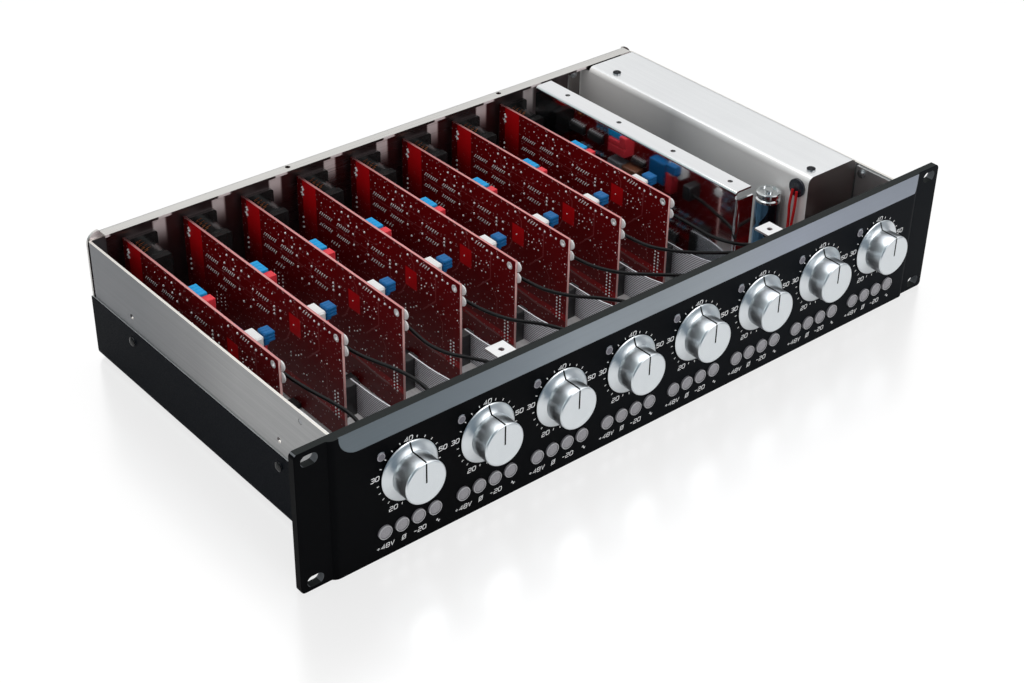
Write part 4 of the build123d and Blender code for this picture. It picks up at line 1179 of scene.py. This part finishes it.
# %% Outline of a board
board_pitch, first_board, board_thickness = 40.9, -191.8, 1.6
board_places = [first_board + n * board_pitch for n in range(8)]
board_front, board_back, board_bottom, board_top = 83.8, 247.2, -41.5, 31.7
hole_y, hole_z, hole_radius = 89.0, 26.7, 1.7
outline = bpy.data.curves.new("board_outline", "CURVE")
outline.dimensions, outline.fill_mode = "2D", "BOTH"
outline.extrude = 0.0005 * board_thickness
cut_back, cut_up = 4.2, 4.5
corners = [(board_front, board_bottom), (board_back - cut_back, board_bottom),
           (board_back, board_bottom + cut_up), (board_back, board_top),
           (board_front, board_top)]
rim = [(hole_y + hole_radius * math.cos(math.pi * n / 12),
        hole_z + hole_radius * math.sin(math.pi * n / 12)) for n in range(24)]
for loop in (corners, rim):
    spline = outline.splines.new("POLY")
    spline.points.add(len(loop) - 1)
    for point, (y, z) in zip(spline.points, loop):
        point.co = (0.001 * y, 0.001 * z, 0.0, 1.0)
    spline.use_cyclic_u = True
print("A board is", round(board_back - board_front, 1), "by", round(board_top - board_bottom, 1),
      "mm")

# %% The boards, stood on edge
sketch = bpy.data.objects.new("board_outline", outline)
flat_board = bpy.data.meshes.new_from_object(sketch)
for vertex in flat_board.vertices:
    y, z, x = vertex.co
    vertex.co = (x + 0.0005 * board_thickness, y, z)
flat_board.name = "channel_board"
flat_board.materials.clear()
flat_board.materials.append(board_red)
tidy = bmesh.new()
tidy.from_mesh(flat_board)
bmesh.ops.remove_doubles(tidy, verts=tidy.verts, dist=0.000001)
bmesh.ops.recalc_face_normals(tidy, faces=tidy.faces)
tidy.to_mesh(flat_board)
tidy.free()
bpy.data.objects.remove(sketch)
bpy.data.curves.remove(outline)
for number, x in enumerate(board_places, 1):
    stands_for = ("channel_boards",) if number == 1 else ()
    fit(f"channel_board_{number}", flat_board, "chassis", (x, 0, 0), stands_for)
print("Faces on a board:", len(flat_board.polygons))

# %% Feet under the boards
foot_width, foot_length, foot_base, foot_top = 4.5, 8.0, -41.85, -38.85
foot_form = Form()
for x in board_places:
    for foot_y in (128.0, 224.0):
        foot_form.block((x - foot_width, foot_y, foot_base), (x, foot_y + foot_length, foot_top),
                        black_plastic, 0.3)
fit("board_feet", foot_form.mesh("board_feet"), "chassis", (0, 0, 0),
    ("board_rail",))
print("Feet made:", 2 * len(board_places))

# %% [markdown]
# ## Solder side of the boards
# From the front left every board shows its solder side: rows of clipped leads, round joints of
# two sizes, wide copper runs under the varnish and two bare patches. All eight boards are the
# same, so one mesh is made and eight objects share it. A joint is a low turned dome; a clipped
# lead is a small slanted bar of solder. Places are written as (distance back, height).


# %% Where the leads come through
def pins(first, height, count, pitch=2.54):
    """A row of leads that runs forward from the first one."""
    return [(first - pitch * n, height) for n in range(count)]


clipped_leads = (pins(222.6, 16.6, 7, 1.95) + pins(222.6, 8.8, 7, 1.95) + pins(204.2, 16.6, 7, 1.9)
                 + pins(204.2, 8.8, 7, 1.9) + pins(168.4, 16.8, 6, 2.2)
                 + pins(168.4, 8.8, 6, 2.2) + pins(211.0, 1.5, 4) + pins(120.0, 28.2, 4, 2.3))
large_joints = [(199.1, 27.5), (192.3, 27.5), (202.3, 20.7), (192.5, 20.7), (187.8, 17.2),
                (172.4, 17.2), (187.2, 9.9), (172.4, 9.9), (183.7, 24.0), (175.9, 24.0),
                (150.5, 16.4), (150.5, 14.0), (150.5, 11.6), (144.3, 16.5), (144.3, 11.3),
                (132.7, 28.7), (123.5, 28.7), (109.7, 27.2), (105.3, 27.2), (99.8, 27.2),
                (95.0, 27.2), (183.4, 3.4), (176.0, 3.4)]
small_joints = [(220.8, 24.3), (211.4, 25.3), (206.7, 23.0), (190.1, 24.0), (159.9, 24.3),
                (151.8, 24.3), (140.1, 24.3), (119.8, 18.7), (119.8, 14.0), (119.8, 11.8),
                (116.6, 14.7), (115.1, 17.6), (110.0, 18.7), (108.5, 17.6), (114.4, 11.0),
                (110.7, 11.8), (108.9, 4.7), (104.4, 3.4), (99.0, 4.4), (124.7, -2.9),
                (127.6, -5.1), (130.5, -6.6), (135.7, -6.9), (135.7, -9.5), (104.1, -10.3),
                (120.2, -14.7), (123.2, -15.4), (86.5, 13.5), (86.0, 6.6), (131.1, 13.7)]
small_joints += [(214.0 - 4.5 * column, -5.0 - 2.5 * row) for column in range(3)
                 for row in range(4)]
header_joints = [(y, -10.4 - 2.28 * row) for y in (92.3, 89.4) for row in range(8)]
print("Joints on each board:",
      len(large_joints) + len(small_joints) + len(header_joints) + len(clipped_leads))

# %% Solder joints
joint_form = Form()


def joint(y, z, radius, height=0.55):
    """Low dome of solder on the board's left face."""
    dome = [(-0.02, radius), (0.2 * height, 0.93 * radius), (0.62 * height, 0.66 * radius),
            (0.92 * height, 0.32 * radius), (height, 0)]
    joint_form.turn(dome, solder, (0, y, z), (-1, 0, 0), 10)


for places, radius, height in ((large_joints, 0.8, 0.75), (small_joints, 0.46, 0.5),
                               (header_joints, 0.62, 0.7)):
    for y, z in places:
        joint(y, z, radius, height)
lean, half, wide = 0.85, 1.15, 0.46
for y, z in clipped_leads:
    joint_form.add([(-0.02, y + lean - wide, z - half), (-0.02, y + lean + wide, z - half),
                    (-0.02, y - lean + wide, z + half), (-0.02, y - lean - wide, z + half),
                    (-0.6, y + lean * 0.8, z - 0.8 * half), (-0.45, y - lean, z + 0.85 * half)],
                   [[0, 1, 4], [1, 2, 5, 4], [2, 3, 5], [3, 0, 4, 5]], solder)
print("Solder faces:", len(joint_form.faces))

# %% Copper runs under the varnish
copper_runs = [
    ([(106.3, 27.0), (106.3, 9.6), (118.8, -2.2)], 0.9),
    ([(126.9, 20.1), (126.9, 24.5), (130.0, 28.0)], 0.9),
    ([(135.0, 7.6), (139.3, 0.0), (143.0, -3.0)], 1.0),
    ([(220.0, 13.2), (174.6, 13.2)], 0.8), ([(168.0, 13.2), (152.5, 13.2)], 0.6),
    ([(130.0, -24.5), (112.0, -26.0), (97.0, -26.0)], 1.6),
    ([(199.1, 27.5), (196.0, 24.0), (196.0, 14.0)], 0.6),
    ([(160.0, 24.3), (164.0, 20.5), (186.0, 20.5)], 0.5),
    ([(150.5, 11.0), (150.5, 2.0), (158.0, -6.0), (176.0, -6.0)], 0.6),
    ([(104.4, 3.4), (100.0, -2.0), (100.0, -18.0)], 0.6)]


def on_board(y, z):
    return (-0.03, y, z)


for line, width in copper_runs:
    joint_form.strip(line, width, trace_red, on_board)
loop_y, loop_z, loop_radius = 179.7, 16.9, 7.3
loop = [(loop_y + loop_radius * math.cos(math.pi * n / 16),
         loop_z + loop_radius * math.sin(math.pi * n / 16)) for n in range(32)]
joint_form.strip(loop, 0.5, trace_red, on_board, closed=True)
print("Copper runs:", len(copper_runs) + 1)

# %% Solder blobs by the jacks and the ring round the screw hole
blobs = [(241.3, 26.4, 0.9), (240.6, 25.0, 1.0), (242.0, 22.6, 0.9), (241.0, 21.4, 1.0),
         (241.6, 5.0, 0.9), (241.6, 1.6, 0.8), (241.6, -2.0, 0.8)]
for y, z, radius in blobs:
    joint(y, z, radius, 1.0)
joint_form.turn([(-1.5, 1.45), (0.1, 1.3), (0.2, 1.6), (0.16, 2.2), (0.02, 2.4)], solder,
                (0, hole_y, hole_z), (-1, 0, 0), 24)
joint_mesh = joint_form.mesh("solder_side")
for number, x in enumerate(board_places, 1):
    fit(f"solder_side_{number}", joint_mesh, "chassis", (x, 0, 0))
print("Faces on each solder side:", len(joint_mesh.polygons))

# %% [markdown]
# ## Component side of the boards
# The other face carries the parts. The tall ones show over the next board: a light blue
# trimmer, a coral relay and a blue plug in its white header. The rest fills the gap between
# two boards, so it is made from the same few forms: moulded boxes, aluminium cans with a
# scored top, chips with legs and small resistors. Boxes of this size need no more than cut
# edges, ribs and legs to read as real parts. All of it goes into one mesh for the eight boards.

# %% Ribbed box and can
parts_form = Form()
can_sleeve = moulded("can_sleeve", "1b1d26", 0.3, 0.05, 0.3)


def ribbed(low, high, finish, ribs, axis=1, groove=0.35, edge=0.35):
    """Moulded box built of slices with narrow grooves between them."""
    pitch = (high[axis] - low[axis]) / ribs
    for rib in range(ribs):
        start, end = list(low), list(high)
        start[axis] = low[axis] + rib * pitch + (groove / 2 if rib else 0)
        end[axis] = low[axis] + (rib + 1) * pitch - (groove / 2 if rib < ribs - 1 else 0)
        parts_form.block(start, end, finish, min(edge, pitch / 3))
    core = [[side + shift * groove for side in corner] for corner, shift in ((low, 1), (high, -1))]
    parts_form.block(*core, finish, 0.1)


def can(y, z, radius, height):
    """Electrolytic capacitor: rubber foot, sleeve with a rolled groove, scored metal top."""
    parts_form.turn([(0, 0), (0, radius - 0.3), (0.6, radius), (height * 0.2, radius),
                     (height * 0.2 + 0.35, radius - 0.45), (height * 0.2 + 0.9, radius),
                     (height - 0.4, radius), (height - 0.1, radius - 0.35)],
                    can_sleeve, (0, y, z), (1, 0, 0), 24)
    parts_form.turn([(height - 0.1, radius - 0.35), (height - 0.25, radius - 0.7),
                     (height - 0.2, 0)], can_chrome, (0, y, z), (1, 0, 0), 24)
    for lie in ((0.12, radius * 0.6), (radius * 0.6, 0.12)):
        parts_form.block((height - 0.3, y - lie[0], z - lie[1]),
                         (height - 0.16, y + lie[0], z + lie[1]), black_plastic, 0.02)


print("A can's sleeve:", can_sleeve.name)


# %% Chip and resistor
def chip(y0, y1, z0, z1, legs):
    """Dual in-line chip on its legs, with the pin-one notch in its rear end."""
    parts_form.block((0.7, y0, z0), (3.9, y1, z1), black_plastic, 0.3)
    parts_form.turn([(3.85, 0.7), (3.92, 0.65), (3.92, 0)], grey_plastic,
                    (0, y1 - 1.2, (z0 + z1) / 2), (1, 0, 0), 12)
    for leg in range(legs):
        y = y0 + (leg + 0.5) * (y1 - y0) / legs
        for z, out in ((z0 - 0.55, -1), (z1 + 0.55, 1)):
            parts_form.block((0, y - 0.25, z - 0.12), (2.2, y + 0.25, z + 0.12), solder, 0.04)
            parts_form.block((1.9, y - 0.6, min(z, z - out * 0.6)),
                             (2.3, y + 0.6, max(z, z - out * 0.6)), solder, 0.04)


def resistor(y, z, upright=False):
    """Metal film resistor with bell-shaped ends on two bent legs."""
    way = (0, 0, 1) if upright else (0, 1, 0)
    parts_form.turn([(-3.2, 0), (-3.2, 0.95), (-2.8, 1.2), (-2.0, 1.2), (-1.7, 0.95), (1.7, 0.95),
                     (2.0, 1.2), (2.8, 1.2), (3.2, 0.95), (3.2, 0)], resistor_blue,
                    (1.3, y, z), way, 10)
    for share, code in ((-1.0, copper), (0.0, black_plastic), (1.0, coral_plastic)):
        parts_form.turn([(share - 0.25, 0.99), (share + 0.25, 0.99)], code, (1.3, y, z), way, 10)
    for end in (-5.0, 5.0):
        reach = (0, 0, end) if upright else (0, end, 0)
        inner = (1.3, y + reach[1] * 0.64, z + reach[2] * 0.64)
        outer = (1.3, y + reach[1], z + reach[2])
        parts_form.block([min(a, b) - 0.22 for a, b in zip(inner, outer)],
                         [max(a, b) + 0.22 for a, b in zip(inner, outer)], solder, 0.08)
        parts_form.block((0, outer[1] - 0.22, outer[2] - 0.22),
                         (1.4, outer[1] + 0.22, outer[2] + 0.22), solder, 0.08)


print("Resistors wear:", resistor_blue.name)

# %% Trimmer and relay
ribbed((0, 168.6, 24.0), (7.3, 180.6, 29.4), cyan_plastic, 4, groove=0.25, edge=0.3)
parts_form.block((0, 162.4, 14.0), (7.8, 168.4, 28.0), coral_plastic, 0.35)
parts_form.block((0, 167.9, 14.0), (7.8, 179.0, 23.7), coral_plastic, 0.35)
for y0, y1, top in ((162.4, 168.4, 28.0), (167.6, 179.0, 23.7)):
    for z0, z1 in ((14.0, 19.6), (20.6, top)):
        parts_form.block((7.0, y0, z0), (8.8, y1, z1), coral_plastic, 0.35)
print("Trimmer and relay faces:", len(parts_form.faces))

# %% White header and its blue plug
parts_form.block((0, 111.5, 19.0), (7.4, 123.0, 29.2), white_plastic, 0.5)
parts_form.block((0.8, 110.9, 19.6), (6.6, 112.0, 28.6), white_plastic, 0.3)
ribbed((7.8, 110.5, 24.5), (14.3, 118.5, 30.6), blue_plastic, 3, axis=2, groove=0.3, edge=0.5)
parts_form.block((7.8, 111.5, 22.6), (11.0, 117.5, 24.6), blue_plastic, 0.35)
for rib in range(3):
    parts_form.block((8.4, 111.1 + 2.54 * rib, 30.5), (13.6, 112.6 + 2.54 * rib, 30.75),
                     blue_plastic, 0.1)
    parts_form.block((7.3, 112.0 + 2.54 * rib, 27.0), (8.0, 112.7 + 2.54 * rib, 27.7), solder, 0.1)
for z, reach in ((20.0, 9.6), (21.0, 10.0)):
    parts_form.turn([(0, 0.55), (2.6, 0.55)], coral_plastic, (reach, 113.2 + z - 20, 19.0),
                    (0, 0, 1), 10)
print("With the header and plug:", len(parts_form.faces))

# %% Parts that fill the gap to the next board
parts_form.block((0, 127.0, 8.0), (7.0, 141.5, 23.5), blue_plastic, 0.6)
ribbed((0, 120.7, 4.0), (6.0, 126.6, 18.5), coral_plastic, 3, axis=1)
for half in (0, 1):
    parts_form.block((0, 152.0 + 14.0 * half, -4.0), (8.5, 165.5 + 14.0 * half, 8.0),
                     (amber_film, grey_plastic)[half], 0.7)
for row in range(4):
    can(206.0 - 13.0 * row, -24.0, 4.0, 11.5)
    can(206.0 - 13.0 * row, -12.5, 3.15, 8.0)
parts_form.turn([(0.1, 1.5), (0.6, 1.4), (1.8, 1.4), (2.2, 1.8), (2.2, 3.0), (1.8, 3.45),
                 (0.6, 3.45), (0.1, 3.0), (0.1, 1.5)], copper, (0, 214.0, 26.0), (1, 0, 0), 24)
print("With boxes, cans and choke:", len(parts_form.faces))

# %% Chips and resistors
for row in range(3):
    chip(115.0 + 16.0 * row, 125.0 + 16.0 * row, -30.5, -24.5, 4)
for y0, y1 in ((209.3, 223.5), (191.2, 204.9), (150.0, 161.8)):
    chip(y0, y1, 10.4, 13.6 if y0 < 160 else 16.2, 7)
for column in range(5):
    resistor(208.0 - 14.0 * column, 3.2 - 1.0 * (column % 2) if column < 2 else -7.0)
for column in range(4):
    resistor(139.0 - 13.5 * column, -8.0)
    resistor(143.0 - 13.5 * column, -12.5)
    resistor(140.0 - 13.5 * column, -17.5)
for y in (186.5, 190.0, 193.5, 197.0):
    resistor(y, 24.0, True)
parts_form.block((0, 100.4, 9.0), (10.0, 107.0, 19.0), black_plastic, 0.5)
print("With chips and resistors:", len(parts_form.faces))

# %% Standoffs and jack contacts
for z in (19.9, 27.3):
    parts_form.turn([(0, 0), (0, 2.9), (0.25, 3.25), (0.7, 3.3), (1.25, 2.9), (1.5, 1.9), (1.5, 0)],
                    white_plastic, (0, 84.4, z), (1, 0, 0), 32)


def on_jack(x, y):
    return (x, y, 30.25)


for bend in range(4):
    start = 227.5 + 3.4 * bend
    parts_form.strip([(1.6, start), (4.2, start + 1.0), (3.0, start + 2.0), (7.2, start + 3.0)],
                     0.55, copper, on_jack)
print("Component faces:", len(parts_form.faces))

# %% Ribbon plug
ribbon_low, ribbon_high = -30.5, -7.5
parts_form.block((0, 87.6, ribbon_low), (3.0, 96.2, ribbon_high), black_plastic, 0.4)
parts_form.block((3.0, 88.6, ribbon_low + 1), (10.5, 95.2, ribbon_high - 1), black_plastic, 0.4)
parts_form.block((11.4, 88.6, ribbon_low + 1), (13.0, 95.2, ribbon_high - 1), black_plastic, 0.4)
for end in (ribbon_low + 1.6, ribbon_high - 3.2):
    parts_form.block((10.4, 90.4, end), (11.5, 93.4, end + 1.6), black_plastic, 0.2)
print("With the ribbon plug:", len(parts_form.faces))

# %% A set of parts on every board
parts_mesh = parts_form.mesh("board_parts")
for number, x in enumerate(board_places, 1):
    stands_for = ("board_components",) if number == 1 else ()
    fit(f"board_parts_{number}", parts_mesh, "chassis",
        (x + board_thickness, 0, 0), stands_for)
print("Parts on", len(board_places), "boards, with", len(parts_mesh.polygons), "faces each")

# %% [markdown]
# ## Sockets on the control board
# Every channel board talks to the board behind the front panel: its ribbon lands in a black
# box header there, and its signal lead in a small white one. Each ribbon folds a millimetre
# farther out than the one before, so its header follows.

# %% Control board sockets
socket_form = Form()
control_back, ribbon_landing = 13.6, 24.1
ribbon_shift, ribbon_step, header_width = 22.3, 1.0, 6.6
for number, x in enumerate(board_places):
    plug_x = x + board_thickness + ribbon_shift + ribbon_step * number
    plug_end = plug_x + header_width
    socket_form.block((plug_x, control_back, ribbon_low), (plug_end, ribbon_landing, ribbon_high),
                      black_plastic, 0.4)
    socket_form.block((plug_x, ribbon_landing + 0.9, ribbon_low + 1),
                      (plug_end, ribbon_landing + 2.5, ribbon_high - 1), black_plastic, 0.4)
    lead_x = middle(f"knob_{number + 1}").x
    socket_form.block((lead_x - 4, control_back, 0), (lead_x + 4, control_back + 5, 6),
                      white_plastic, 0.4)
fit("control_sockets", socket_form.mesh("control_sockets"), "chassis")
print("Sockets for", len(board_places), "ribbons and leads")

# %% [markdown]
# ## Size
# The CAD gives the part its size.
